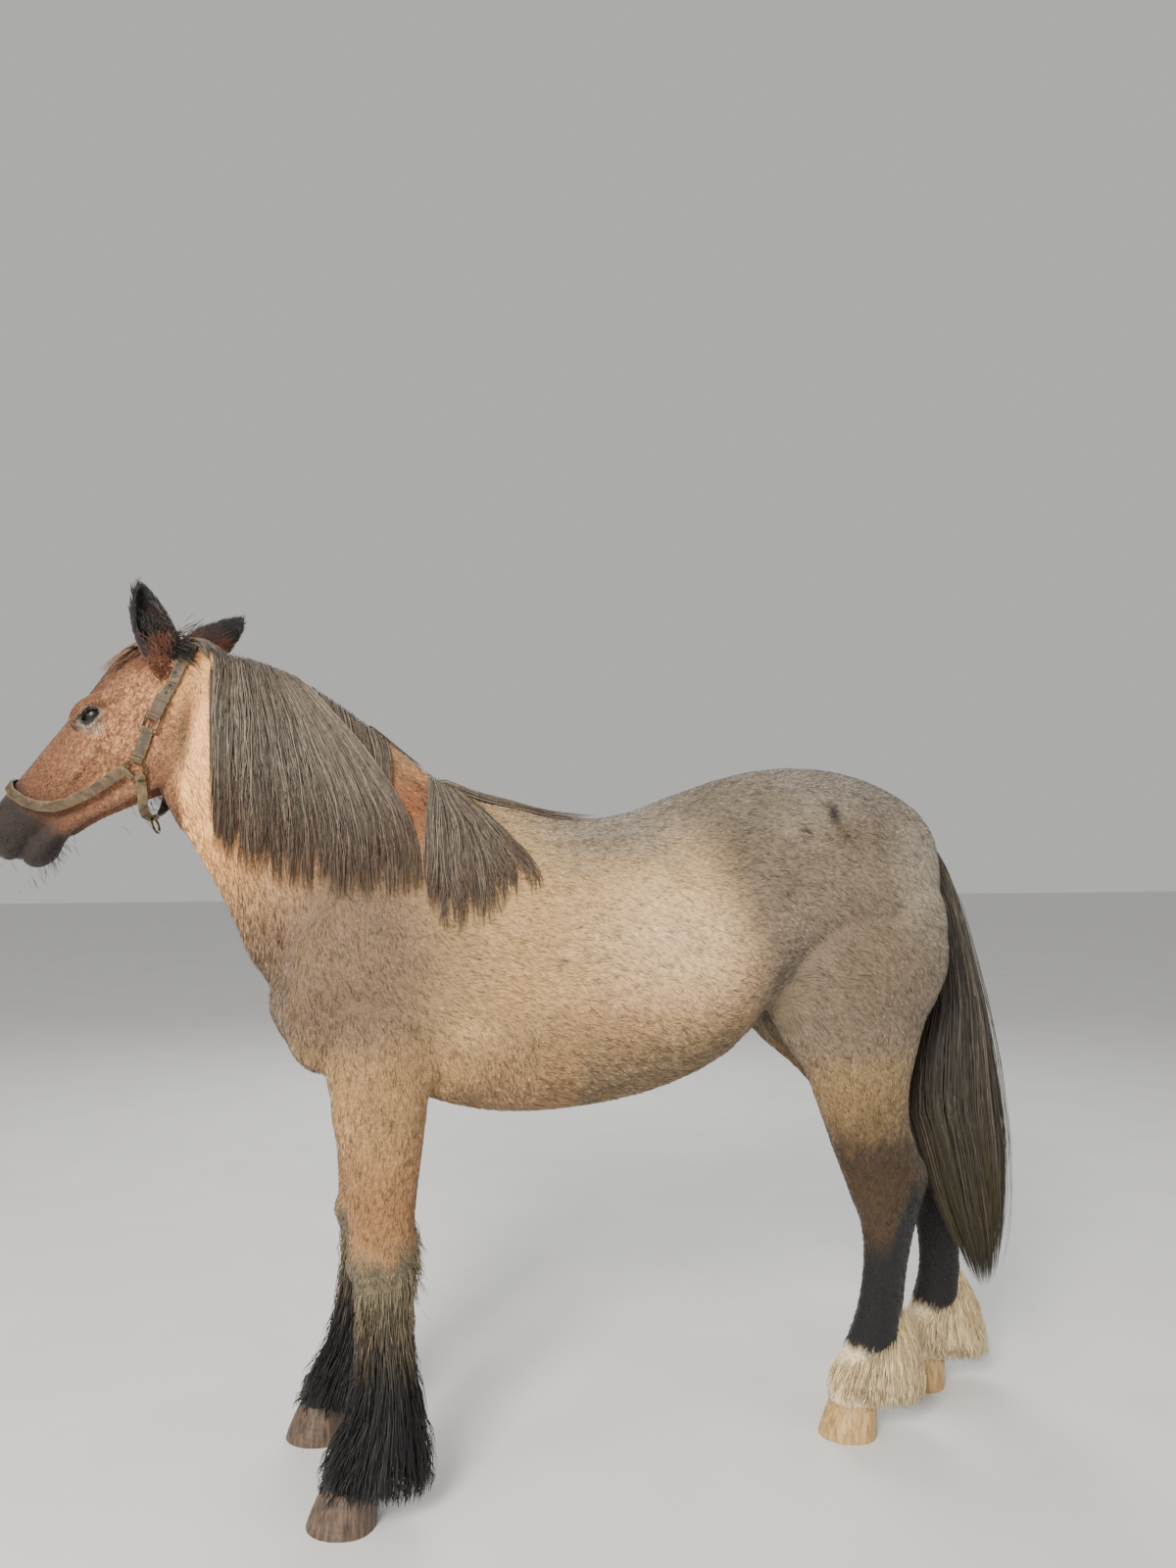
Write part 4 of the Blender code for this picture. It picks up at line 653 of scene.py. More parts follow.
def soften_edges(piece, steps, angle, spots=None, reach=0.02):
    """Smooths the points along sharp edges, near the given spots where there are any."""
    bm = bmesh.new()
    bm.from_mesh(piece.data)
    chosen = set()
    for edge in bm.edges:
        if len(edge.link_faces) == 2 and edge.calc_face_angle(0) > angle:
            chosen.update(edge.verts)
    if spots is not None:
        chosen = {v for v in chosen if any((v.co - spot).length < reach for spot in spots)}
    for _ in range(steps):
        spots = list(chosen)
        bmesh.ops.smooth_vert(bm, verts=spots, factor=0.5, use_axis_x=True, use_axis_y=True, use_axis_z=True)
    bm.to_mesh(piece.data)
    bm.free()


def make_skin():
    """One skin over the body: fused, smoothed, thinned, set in by the coat's depth, then ears and cuts."""
    pieces = torso_pieces() + neck_pieces() + head_pieces(HEAD)
    for side in SIDES:
        pieces += foreleg_pieces(side) + hindleg_pieces(side)
    skin = joined("skin", pieces)
    remesh = skin.modifiers.new("one skin", "REMESH")
    remesh.mode = "VOXEL"
    remesh.voxel_size = SKIN_VOXEL * 1
    settle(skin)
    passes = 60 // 1
    on_head = head_share(points_of(skin.data))
    weigh(skin, "body", 1 - on_head)
    weigh(skin, "breast", 1.6 * near(points_of(skin.data), (-0.86, 0, 1.13), (0.17, 0.34, 0.24)))
    first = passes // 5
    rounds = [("soften", first, ""), ("soften more", passes - first, "body"), ("even", passes * 3, "breast")]
    for name, steps, group in rounds:
        smooth = skin.modifiers.new(name, "SMOOTH")
        smooth.factor = 0.5
        smooth.iterations = steps
        smooth.vertex_group = group
    settle(skin)
    on_head = head_share(points_of(skin.data))
    weigh(skin, "coarser", 1 - 0.75 * on_head)
    skin.data.calc_loop_triangles()
    fewer = skin.modifiers.new("fewer faces", "DECIMATE")
    fewer.ratio = SKIN_TRIANGLES / len(skin.data.loop_triangles)
    fewer.vertex_group = "coarser"
    fewer.vertex_group_factor = 1.0
    settle(skin)
    skin.vertex_groups.clear()
    spots, ways = points_of(skin.data), normals_of(skin.data)
    depth = COAT_DEPTH * (1 - 0.6 * head_share(spots))
    skin.data.vertices.foreach_set("co", (spots - ways * depth[:, None]).astype(np.float32).ravel())
    skin.data.update()
    roots = []
    for _, _, base, tip_way, open_way in EARS:
        place = ear_frame(base, tip_way, open_way)
        combine(skin, ear(place), "UNION")
        turns = np.linspace(0, 5.4, 7)
        roots += [place @ Vector((0.02 * math.cos(a), 0.02 * math.sin(a), 0.012)) for a in turns]
    soften_edges(skin, 10, 0.5, roots, 0.026)
    for cutter in face_cuts():
        combine(skin, cutter, "DIFFERENCE")
    face = [HEAD @ Vector((-0.53, side * 0.05, -0.06)) for side in SIDES]
    soften_edges(skin, 2, 0.7, face, 0.06)
    skin.name = skin.data.name = "horse_skin"
    return smooth_shaded(skin)


def sock_edge(points):
    """How high the pale sock of a hind leg reaches: it climbs towards the back."""
    x, y, z = points.T
    moves = [shifted(side, HIND_SHIFT, z) for side in SIDES]
    back = x - 0.585 - np.where(y < 0, moves[0], moves[1])
    return 0.195 + 0.095 * fade(back, 0.01, 0.075) + 0.02 * fade(-back, 0.02, 0.08)


def under_mane(points):
    """1 where the front group of the mane covers the neck."""
    x, y, z = points.T
    back = np.interp(z, [1.30, 1.40, 1.53, 1.60, 1.70, 1.80], [-0.57, -0.57, -0.60, -0.66, -0.64, -0.70])
    front = np.interp(z, [1.40, 1.80], [-0.955, -0.960])
    low = np.interp(x, [-0.98, -0.80, -0.70, -0.55], [1.45, 1.40, 1.375, 1.36])
    inside = fade(x - front, 0.0, 0.02) * fade(back - x, -0.005, 0.02) * fade(z - low, 0.0, 0.06)
    hank = near(points, (-0.45, -0.2, 1.47), (0.13, 0.3, 0.20)) * 1.2
    return np.clip(inside + hank, 0, 1) * (y < 0.01)


def coat_colour(points, normals):
    """The coat's colour at each point: the same zones and markings for the skin and for the tufts on it."""
    x, y, z = points.T
    local = in_head(points)
    hx, _, hz = local.T
    paint = np.tile(BARREL, (len(points), 1))

    def over(colour, weight):
        """Lays a colour over the paint."""
        weight = np.clip(weight, 0, 1)[:, None]
        paint[:] = paint * (1 - weight) + colour * weight

    patchy = mottle(points, 0.09, 3)
    broad = mottle(points, 0.05, 4)
    fine = mottle(points, 0.022, 5)
    over(PINK_ROAN, near(points, (-0.05, -0.3, 1.05), (0.6, 0.6, 0.42)) * (0.6 + 0.7 * patchy + 0.4 * broad))
    over(BELLY, fade(-normals[:, 2], 0.2, 0.8) * fade(z, 0.7, 0.8) * 0.8)
    over(BACK_GREY, fade(normals[:, 2], 0.45, 0.9) * fade(x, -0.45, -0.1) * fade(z, 1.2, 1.3) * 0.9)
    over(FLANK_CREAM, near(points, (0.02, -0.3, 1.22), (0.34, 0.5, 0.27)) * 0.9)
    over(BELLY, near(points, (-0.30, -0.33, 0.97), (0.42, 0.3, 0.15)) * 0.5)
    over(CROUP, fade(x + 0.35 * (z - 1.2), 0.10, 0.27) * fade(z, 0.8, 1.0) * 0.95)
    over(HAUNCH, near(points, (0.55, -0.2, 1.12), (0.30, 0.5, 0.28)) * 0.7)
    over(BACK_GREY, fade(x, 0.10, 0.35) * fade(z + 0.1 * patchy, 1.42, 1.56) * 0.6)
    over(RUMP_PALE, near(points, (0.68, -0.15, 1.36), (0.18, 0.5, 0.26)) * 0.8)
    over(SHOULDER, near(points, (-0.73, 0, 1.17), (0.46, 1.0, 0.52)) * 1.5)
    over(NECK_TAN, fade(z - 1.1 * (x + 0.62), 1.42, 1.70) * fade(-x, 0.45, 0.70))
    over(NECK_RED, near(points, (-0.56, -0.15, 1.52), (0.12, 0.4, 0.22)) * 1.1)
    # Painted shade: a darker streak behind the cheek.
    over(NECK_RED, near(points, (-1.035, -0.09, 1.60), (0.016, 0.12, 0.15)) * 0.5)
    # The cream strip down the front of the neck: its own cream colour with painted sunlight in it.
    over(SUNLIT_CREAM, fade(-x, 0.84, 0.95) * fade(z - 0.5 * (x + 0.9), 1.28, 1.50))
    over(BARREL * 1.1, near(points, (-0.45, -0.25, 1.0), (0.10, 0.4, 0.10)) * 0.8)
    for centre, radii, weight in MARKS:
        over(MARK_DARK, near(points, centre, radii) * weight * 1.5 * (y < 0))
    # Partly a dark undercoat and partly painted shade: under the mane, so the gaps between its hairs read
    # dark, and on the poll under its hair.
    over(MANE_SHADE, under_mane(points) * 0.92)
    over(MANE_SHADE, near(points, (-1.015, 0.0, 1.86), (0.065, 0.085, 0.07)) * 1.6)
    # Painted shade between the hind legs, on the inner thighs near the middle line.
    over(HIND_GAP_SHADE, fade(x, 0.2, 0.35) * (1 - fade(np.abs(y), 0.03, 0.12)) * (1 - fade(z, 0.98, 1.08)) * 0.9)

    fore = (x < -0.2) & (z < 1.06)
    over(FOREARM, fore * (1 - fade(z, 0.90, 1.04)))
    over(KNEE_RED, fore * near(points, (-0.62, 0, 0.65), (0.5, 1.0, 0.20)) * (0.75 + 0.25 * fine))
    over(CANNON_GREY, fore * (1 - fade(z + 0.03 * fine, 0.52, 0.59)))
    over(LEG_BLACK, fore * (1 - fade(z + 0.04 * fine, 0.34, 0.49)))

    hind = (x > 0.2) & (z < 1.0)
    over(GASKIN_TAN, hind * (1 - fade(z, 0.84, 0.95)) * 0.9)
    over(HOCK_BROWN, hind * (1 - fade(z + 0.03 * fine, 0.66, 0.84)))
    back = fade(x - 0.60 - np.where(y > 0, 0.2, 0.0), 0.0, 0.06)
    over(LEG_BLACK, hind * (1 - fade(z + 0.02 * fine - 0.15 * back, 0.40, 0.49)))
    over(SOCK_CREAM, hind * (1 - fade(z + 0.012 * fine - sock_edge(points), -0.012, 0.012)))

    head = head_share(points)
    over(HEAD_BROWN, head)
    over(HEAD_DARK, head * near(local, (-0.12, 0, 0.0), (0.26, 0.13, 0.10)) * 1.3)
    over(HEAD_DARK, head * fade(-hx, 0.30, 0.42) * 0.5)
    flecks = np.clip(mottle(points, 0.0035, 8) * 0.9 + mottle(points, 0.009, 9) * 0.20 + 0.30, 0, 1)
    brow = 1 - 0.75 * fade(hz, -0.07, -0.01)
    over(HEAD_FLECK, head * flecks * brow * (near(local, (-0.17, 0, -0.13), (0.26, 1.0, 0.19)) + 0.10) * 0.85)
    over(HEAD_FLECK, head * near(local, (-0.13, 0, -0.27), (0.14, 1.0, 0.07)) * 0.6)
    # Cream under the jowl, in the same colour with its painted sunlight.
    over(SUNLIT_CREAM, head * fade(hx, -0.12, -0.04) * (1 - fade(hz, -0.16, -0.08)) * 0.7)
    # Painted shade: a darker streak down the neck behind the jowl.
    over(GASKIN_TAN, near(points, (-1.060, -0.085, 1.665), (0.017, 0.10, 0.12)) * 0.9)
    over(MUZZLE, head * fade(-hx + 0.01 * fine, 0.40, 0.47) * 0.96)
    for side in SIDES:
        eye = (EYE_AT.x, side * EYE_AT.y, EYE_AT.z)
        over(HEAD_DARK, near(local, (eye[0], eye[1], eye[2] + 0.004), (0.064, 0.06, 0.050)) * 1.3)
        over(EYE_RIM, near(local, (eye[0] - 0.004, eye[1], eye[2]), (0.041, 0.05, 0.028)) * 1.9)
        over(EYE_RIM, near(local, (eye[0] - 0.010, eye[1], eye[2] - 0.032), (0.028, 0.03, 0.018)) * 0.6)
        # Dark skin round the eye's opening: partly the skin's own colour, partly painted shade under the
        # lids.
        reach = np.linalg.norm((local - np.array(eye)) / (0.0265, 0.06, 0.0165), axis=1)
        over(EYE_SKIN, (1 - fade(reach, 0.85, 1.0)) * 1.0)
    for _, side, base, tip_way, open_way in EARS:
        own = np.array(ear_frame(base, tip_way, open_way).inverted())
        spots = points @ own[:3, :3].T + own[:3, 3]
        ways = normals @ (own[:3, :3].T / np.linalg.norm(own[0, :3]))
        reach = np.hypot(spots[:, 0], spots[:, 1])
        on = (spots[:, 2] > -0.02) & (spots[:, 2] < 0.18) & (reach < 0.06)
        over(EAR_RED, on * fade(spots[:, 2], -0.02, 0.01))
        inside = fade(0.045 - reach, 0.0, 0.004) * fade(spots[:, 0], -0.024, -0.016)
        over(EAR_BLACK, on * fade(spots[:, 2], 0.004, 0.02) * fade(ways[:, 0], -0.1, 0.3) * inside * 0.97)
        back_edge = fade(spots[:, 1] * (1 if side > 0 else -1), -0.01, 0.02)
        over(EAR_BLACK, on * fade(spots[:, 2], 0.02, 0.06) * back_edge * 0.8)
        over(EAR_BLACK, on * fade(spots[:, 2] + 0.010 * fine, 0.075, 0.115) * 0.97)
    paint *= (1 + 0.09 * patchy + 0.07 * broad + 0.07 * fine)[:, None]
    return np.clip(paint, 0.002, 1)


def lie_of_coat(points, normals):
    """The way the hair lies at each point, along the surface."""
    x, _, z = points.T
    way = np.tile(np.array([1.0, 0.0, -0.40]), (len(points), 1))

    def over(direction, weight):
        """Turns the hair towards a direction."""
        weight = np.clip(weight, 0, 1)[:, None]
        way[:] = way * (1 - weight) + np.array(direction) * weight

    over((0.65, 0, -0.8), fade(x, 0.30, 0.55) * fade(z, 0.8, 1.0) * (1 - fade(z, 1.3, 1.5)))
    over((0.15, 0, -1), (x > 0.2) * (1 - fade(z, 0.85, 1.10)))
    over((-0.25, 0, 0.9), near(points, (0.30, 0, 1.12), (0.10, 0.6, 0.12)))
    over((0.35, 0, -0.95), fade(-x, 0.45, 0.60) * fade(z, 0.9, 1.0))
    over((0.55, 0, -0.85), fade(-x, 0.65, 0.85) * fade(z, 1.2, 1.4))
    over((0.05, 0, -1), (x < -0.3) * (1 - fade(z, 0.95, 1.12)))
    head = head_share(points)
    turn = np.array(HEAD.to_3x3())
    over(tuple(turn @ np.array([-0.9, 0, -0.35])), head)
    for _, _, base, tip_way, _ in EARS:
        local = in_head(points)
        axis = np.array(Vector(tip_way).normalized())
        out = local - np.array(base)
        along = out @ axis
        off = np.linalg.norm(out - along[:, None] * axis, axis=1)
        over(tuple(turn @ axis), fade(along, 0.0, 0.03) * (1 - fade(off, 0.05, 0.065)))
    way += 0.22 * np.stack([mottle(points, 0.16, 21 + k) for k in range(3)], axis=1)
    way -= normals * (way * normals).sum(axis=1)[:, None]
    return way / np.maximum(np.linalg.norm(way, axis=1), 1e-6)[:, None]


def mesh_from(name, points, triangles, colours, spots_uv=None):
    """A joined mesh from arrays, with the coat's colour on its points and the bake map on its corners."""
    mesh = bpy.data.meshes.new(name)
    mesh.vertices.add(len(points))
    mesh.vertices.foreach_set("co", points.astype(np.float32).ravel())
    mesh.loops.add(len(triangles) * 3)
    mesh.loops.foreach_set("vertex_index", triangles.astype(np.int32).ravel())
    mesh.polygons.add(len(triangles))
    mesh.polygons.foreach_set("loop_start", np.arange(0, len(triangles) * 3, 3, dtype=np.int32))
    mesh.update(calc_edges=True)
    mesh.polygons.foreach_set("use_smooth", [True] * len(triangles))
    paint_points(mesh, colours)
    if spots_uv is not None:
        layer = mesh.uv_layers.new(name="OFBake")
        layer.data.foreach_set("uv", spots_uv[triangles.ravel()].astype(np.float32).ravel())
    piece = bpy.data.objects.new(name, mesh)
    bpy.context.scene.collection.objects.link(piece)
    return piece


def paint_points(mesh, colours):
    """Gives a mesh's points their colour."""
    layer = mesh.color_attributes.new(name="coat", type="FLOAT_COLOR", domain="POINT")
    rgba = np.ones((len(colours), 4), np.float32)
    rgba[:, :3] = colours
    layer.data.foreach_set("color", rgba.ravel())


class Unwrap:
    """An unwrap of the skin's own shape, on a thinned copy of it."""

    def __init__(self, skin):
        """Unwraps a thinned copy of the skin."""
        twin = skin.copy()
        twin.data = skin.data.copy()
        bpy.context.scene.collection.objects.link(twin)
        twin.modifiers.new("fewer faces", "DECIMATE").ratio = UNWRAP_FACES / len(skin.data.polygons)
        settle(twin)
        bpy.context.view_layer.objects.active = twin
        for other in bpy.context.selected_objects:
            other.select_set(False)
        twin.select_set(True)
        bpy.ops.object.mode_set(mode="EDIT")
        bpy.ops.mesh.select_all(action="SELECT")
        bpy.ops.mesh.quads_convert_to_tris()
        bpy.ops.uv.smart_project(angle_limit=math.radians(66), island_margin=0.002)
        bpy.ops.object.mode_set(mode="OBJECT")
        mesh = twin.data
        self.tree = BVHTree.FromPolygons([v.co for v in mesh.vertices], [f.vertices for f in mesh.polygons])
        layer = mesh.uv_layers.active.data
        self.corners = [[mesh.vertices[v].co.copy() for v in f.vertices] for f in mesh.polygons]
        self.maps = [[layer[k].uv.copy() for k in f.loop_indices] for f in mesh.polygons]
        remove(twin)

    def place(self, spot):
        """Where a point of the skin lies on the unwrap."""
        close, _, index, _ = self.tree.find_nearest(spot)
        shares = poly_3d_calc(self.corners[index], close)
        u = sum(share * uv[0] for share, uv in zip(shares, self.maps[index]))
        v = sum(share * uv[1] for share, uv in zip(shares, self.maps[index]))
        return u, v


def grow_coat(skin, unwrap):
    """Short tufts all over the skin, that lie along the coat. Returns their pieces."""
    chance = np.random.default_rng(7)
    mesh = skin.data
    spots, ways, faces = points_of(mesh), normals_of(mesh), triangles_of(mesh)
    a, b, c = spots[faces[:, 0]], spots[faces[:, 1]], spots[faces[:, 2]]
    area = np.linalg.norm(np.cross(b - a, c - a), axis=1) / 2
    middle = (a + b + c) / 3
    local = in_head(middle)
    head = head_share(middle)
    want = 1 + 2.2 * head
    feather = ((middle[:, 2] < 0.30) & (np.abs(middle[:, 0]) > 0.2)).astype(float)
    want *= 1 - 0.55 * feather
    want *= 1 - 0.75 * under_mane(middle)
    for side in SIDES:
        eye = np.array([EYE_AT.x, side * EYE_AT.y, EYE_AT.z])
        want *= np.linalg.norm((local - eye) / (1.25, 1, 0.9), axis=1) > EYE_RADIUS / HEAD_SIZE + 0.0015
    want *= ~((local[:, 0] < -0.43) & (np.abs(local[:, 2] + 0.121) < 0.004))
    count = int(TUFTS * FULLNESS)
    chosen = chance.choice(len(faces), count, p=area * want / (area * want).sum())
    r1, r2 = np.sqrt(chance.random(count)), chance.random(count)
    mix = np.stack([1 - r1, r1 * (1 - r2), r1 * r2], axis=1)[:, :, None]
    corner = faces[chosen]
    root = (spots[corner] * mix).sum(axis=1)
    normal = (ways[corner] * mix).sum(axis=1)
    normal /= np.linalg.norm(normal, axis=1)[:, None]
    lie = lie_of_coat(root, normal)
    side_way = np.cross(normal, lie)
    swing = (0.45 * mottle(root, 0.014, 41) + chance.normal(0, 0.12, count))[:, None]
    lie = lie * np.cos(swing) + side_way * np.sin(swing)
    side_way = np.cross(normal, lie)

    x, y, z = root.T
    local = in_head(root)
    head = head_share(root)
    length = np.full(count, 0.0190)
    width = np.full(count, 0.0018)
    lift = np.full(count, 0.0016)

    def grade(weight, long, wide, high):
        """Moves the tufts' length, width and lift towards a zone's own."""
        for value, goal in ((length, long), (width, wide), (lift, high)):
            value += (goal - value) * np.clip(weight, 0, 1)

    grade(fade(-normal[:, 2], 0.3, 0.9) * (z > 0.7), 0.022, 0.0030, 0.003)
    grade(1 - fade(z, 0.45, 0.75), 0.014, 0.0026, 0.0016)
    grade(head, 0.0085, 0.0019, 0.0008)
    grade(head * fade(-local[:, 0], 0.38, 0.46), 0.0045, 0.0013, 0.0005)
    grade(head * (1 - fade(local[:, 2], -0.30, -0.24)), 0.020, 0.0018, 0.005)
    throat = fade(-x, 0.80, 0.90) * (1 - fade(normal[:, 0], -0.7, -0.2)) * (z > 1.1) * (1 - head)
    grade(throat, 0.026, 0.0022, 0.006)
    length *= chance.uniform(0.7, 1.3, count)
    width *= chance.uniform(0.75, 1.25, count)
    lift *= chance.uniform(0.4, 1.6, count)

    half = side_way * width[:, None] / 2
    sunk = root - normal * 0.0006
    ridge = root + lie * (length * 0.3)[:, None] + normal * (lift * 0.45 + 0.0004)[:, None]
    tip = root + lie * length[:, None] + normal * lift[:, None]
    points = np.stack([sunk - half, sunk + half, ridge, tip], axis=1)
    pattern = np.array([[0, 3, 2], [2, 3, 1], [0, 2, 1], [0, 1, 3]])

    paint = coat_colour(root, normal)
    pale = chance.random(count)
    roan = 0.30 + 0.20 * mottle(root, 0.03, 31)
    roan *= np.where(z < 0.5, 0.5, 1.0) * (1 - under_mane(root)) * (paint.mean(axis=1) > 0.06)
    lighten = (pale < roan) & ~((head > 0.5) & (local[:, 0] < -0.42))
    darken = pale > 0.78
    paint[lighten] = paint[lighten] * 1.18 + np.array([0.66, 0.55, 0.42]) * 0.085
    paint[darken] *= 0.58
    along, across = x * 0.93 - z * 0.37, x * 0.37 + z * 0.93
    streak = mottle(np.stack([along * 0.22, y * 0.5, across], axis=1), 0.0055, 33)
    streak += 0.6 * mottle(np.stack([along * 0.30, y * 0.5, across], axis=1), 0.013, 34)
    paint *= (1 + 0.34 * streak * (1 - 0.6 * head) * fade(z, 0.3, 0.6))[:, None]
    paint *= chance.uniform(0.76, 1.24, count)[:, None]

    uv_root = np.array([unwrap.place(Vector(spot)) for spot in root])
    shape = np.array([[-0.5, -0.5], [0.5, -0.5], [0.0, 0.0], [0.0, 0.5]]) * PATCH
    uv = uv_root[:, None, :] + shape[None]

    made = []
    lots = max(1, math.ceil(count * 4 / LARGEST_PIECE))
    order = np.argsort(root[:, 0] + 0.0001 * root[:, 2])
    for index, lot in enumerate(np.array_split(order, lots)):
        name = "coat_" + str(index + 1)
        triangles = (np.arange(len(lot))[:, None, None] * 4 + pattern[None]).reshape(-1, 3)
        shade = np.repeat(paint[lot], 4, axis=0)
        shade = np.clip(shade * np.tile([0.85, 0.85, 1.0, 1.1], len(lot))[:, None], 0, 1)
        made.append(mesh_from(name, points[lot].reshape(-1, 3), triangles, shade, uv[lot].reshape(-1, 2)))
    return made


def tree_of(piece):
    """A search tree of a piece's faces."""
    mesh = piece.data
    return BVHTree.FromPolygons([v.co for v in mesh.vertices], [f.vertices for f in mesh.polygons])


def hang(tree, root, way, length, steps, lift, pull=(0, 0, -1), stiff=0.6):
    """The path of a hair that leaves its root along way, falls along pull and lies on the surface."""
    spot, way, pull = Vector(root), Vector(way).normalized(), Vector(pull).normalized()
    path, facing = [spot.copy()], [Vector((0, 0, 1))]
    step = length / steps
    for _ in range(steps):
        way = (way * stiff + pull * (1 - stiff)).normalized()
        ahead = spot + way * step
        close, normal, _, _ = tree.find_nearest(ahead)
        if (ahead - close).dot(normal) < lift:
            ahead = close + normal * lift
        way = (ahead - spot).normalized()
        spot = ahead
        path.append(spot.copy())
        facing.append(normal.copy())
    facing[0] = facing[1]
    return np.array(path), np.array(facing)


def strands(name, paths, facing, widths, thickness, colours, uv_roots):
    """Three-sided hairs that taper to their tips, joined in one mesh. Paths are hairs by rings by three."""
    count, rings = paths.shape[:2]
    run = np.gradient(paths, axis=1)
    run /= np.maximum(np.linalg.norm(run, axis=2), 1e-9)[:, :, None]
    across = np.cross(run, facing)
    across /= np.maximum(np.linalg.norm(across, axis=2), 1e-9)[:, :, None]
    out = np.cross(across, run)
    share = np.linspace(0, 1, rings)
    taper = np.minimum(1, 0.55 + share * 2.2) * (1 - np.clip((share - 0.45) / 0.55, 0, 1) ** 1.5 * 0.85)
    half = (widths[:, None] / 2 * taper)[:, :, None]
    high = (widths[:, None] * thickness / 2 * taper)[:, :, None]
    low = paths - out * high
    body = np.stack([low - across * half, low + across * half, paths + out * high], axis=2)
    points = np.concatenate([body[:, :-1].reshape(count, -1, 3), paths[:, -1:]], axis=1)
    per = points.shape[1]
    sides = []
    for ring in range(rings - 2):
        for k in range(3):
            p, q = ring * 3 + k, ring * 3 + (k + 1) % 3
            sides += [[p, q, q + 3], [p, q + 3, p + 3]]
    last = (rings - 2) * 3
    sides += [[last + k, last + (k + 1) % 3, per - 1] for k in range(3)]
    sides.append([2, 1, 0])
    triangles = (np.arange(count)[:, None, None] * per + np.array(sides)[None]).reshape(-1, 3)
    shade = np.concatenate([np.repeat(colours[:, :-1], 3, axis=1), colours[:, -1:]], axis=1).reshape(-1, 3)
    u = np.concatenate([np.tile([-0.5, 0.5, 0.0], rings - 1), [0.0]]) * PATCH
    v = (np.concatenate([np.repeat(share[:-1], 3), [1.0]]) - 0.5) * PATCH
    uv = uv_roots[:, None, :] + np.stack([u, v], axis=1)[None]
    return mesh_from(name, points.reshape(-1, 3), triangles, np.clip(shade, 0, 1), uv.reshape(-1, 2))


def read_grid(grid, place, share):
    """Values on a grid of guides by steps, at a place across the guides and a share along them."""
    guides, steps = grid.shape[:2]
    p = np.clip(place, 0, 1) * (guides - 1)
    s = np.clip(share, 0, 1) * (steps - 1)
    i, j = np.minimum(p.astype(int), guides - 2), np.minimum(s.astype(int), steps - 2)
    fp, fs = (p - i)[..., None], (s - j)[..., None]
    top = grid[i, j] * (1 - fs) + grid[i, j + 1] * fs
    low = grid[i + 1, j] * (1 - fs) + grid[i + 1, j + 1] * fs
    return top * (1 - fp) + low * fp


def hair_colour(chance, count, rings, dark, light, light_share, ends, ends_from=0.55):
    """Hairs of a dark and a light kind, each a little different, that turn to another colour at their ends.
    The share of light hairs is one number or one for each hair."""
    kind = np.clip(chance.normal(0, 0.34, count) + light_share, 0, 1)[:, None, None]
    bright = chance.uniform(0.72, 1.28, count)[:, None, None]
    base = (light[None, None] * kind + dark[None, None] * (1 - kind)) * bright
    share = np.linspace(0, 1, rings)[None, :, None]
    turn = fade(share + chance.normal(0, 0.12, count)[:, None, None], ends_from, 1.05) * 0.75
    return base * (1 - turn) + ends[None, None] * turn * chance.uniform(0.7, 1.3, count)[:, None, None]


def sheet_of_hair(name, chance, count, rings, guides, clumps, tight, rise, look, width, short=0.82,
                  waves=1.0):
    """A sheet of hair between guide paths. Hairs gather in clumps towards their tips."""
    grid, face = guides
    places = chance.random(count)
    centres = np.sort(chance.random(clumps))
    jitter = chance.normal(0, 0.3 / clumps, (count, clumps))
    nearest = np.abs(places[:, None] - centres[None] + jitter).argmin(axis=1)
    share = np.linspace(0, 1, rings)[None, :]
    pull = fade(share, 0.10, 0.95) * tight * chance.uniform(0.55, 1.0, count)[:, None]
    sway = chance.normal(0, 1, (count, 3))
    place = places[:, None] + (centres[nearest] - places)[:, None] * pull
    pace = chance.uniform(7, 13, clumps)[nearest][:, None]
    wave = np.sin(share * pace + nearest[:, None] * 2.1) * 0.0085
    wave = wave + np.sin(share * 24 + sway[:, :1] * 3) * 0.0034
    wave = (wave + np.sin(share * 6.5 + sway[:, 1:2] * 3) * 0.0050) * waves
    place = place + wave * fade(share, 0.05, 0.3) + 0.016 * sway[:, 1:2] * share**1.5
    long = (0.90 + 0.10 * np.sin(nearest * 2.7))[:, None] * chance.uniform(short, 1.05, count)[:, None]
    deep = chance.random(count)[:, None] ** 1.2
    paths = read_grid(grid, place, share * long)
    facing = read_grid(face, place, share * long)
    facing /= np.linalg.norm(facing, axis=2)[:, :, None]
    arch = np.sin(np.clip(share * 1.0 + 0.14, 0, 0.80) * math.pi) ** 0.6
    lift = 0.0012 + 0.0030 * fade(share, 0.03, 0.12) + rise * deep * arch
    paths = paths + facing * lift[:, :, None]
    paths[:, 0] += np.stack([sway[:, 0] * 0.003, sway[:, 2] * 0.006, np.full(count, -0.006)], axis=1)
    widths = width * chance.uniform(0.7, 1.35, count)
    uv = np.stack([0.02 + 0.96 * places, 0.02 + 0.96 * chance.random(count)], axis=1)
    return strands(name, paths, facing, widths, 0.6, look(chance, count, rings), uv)


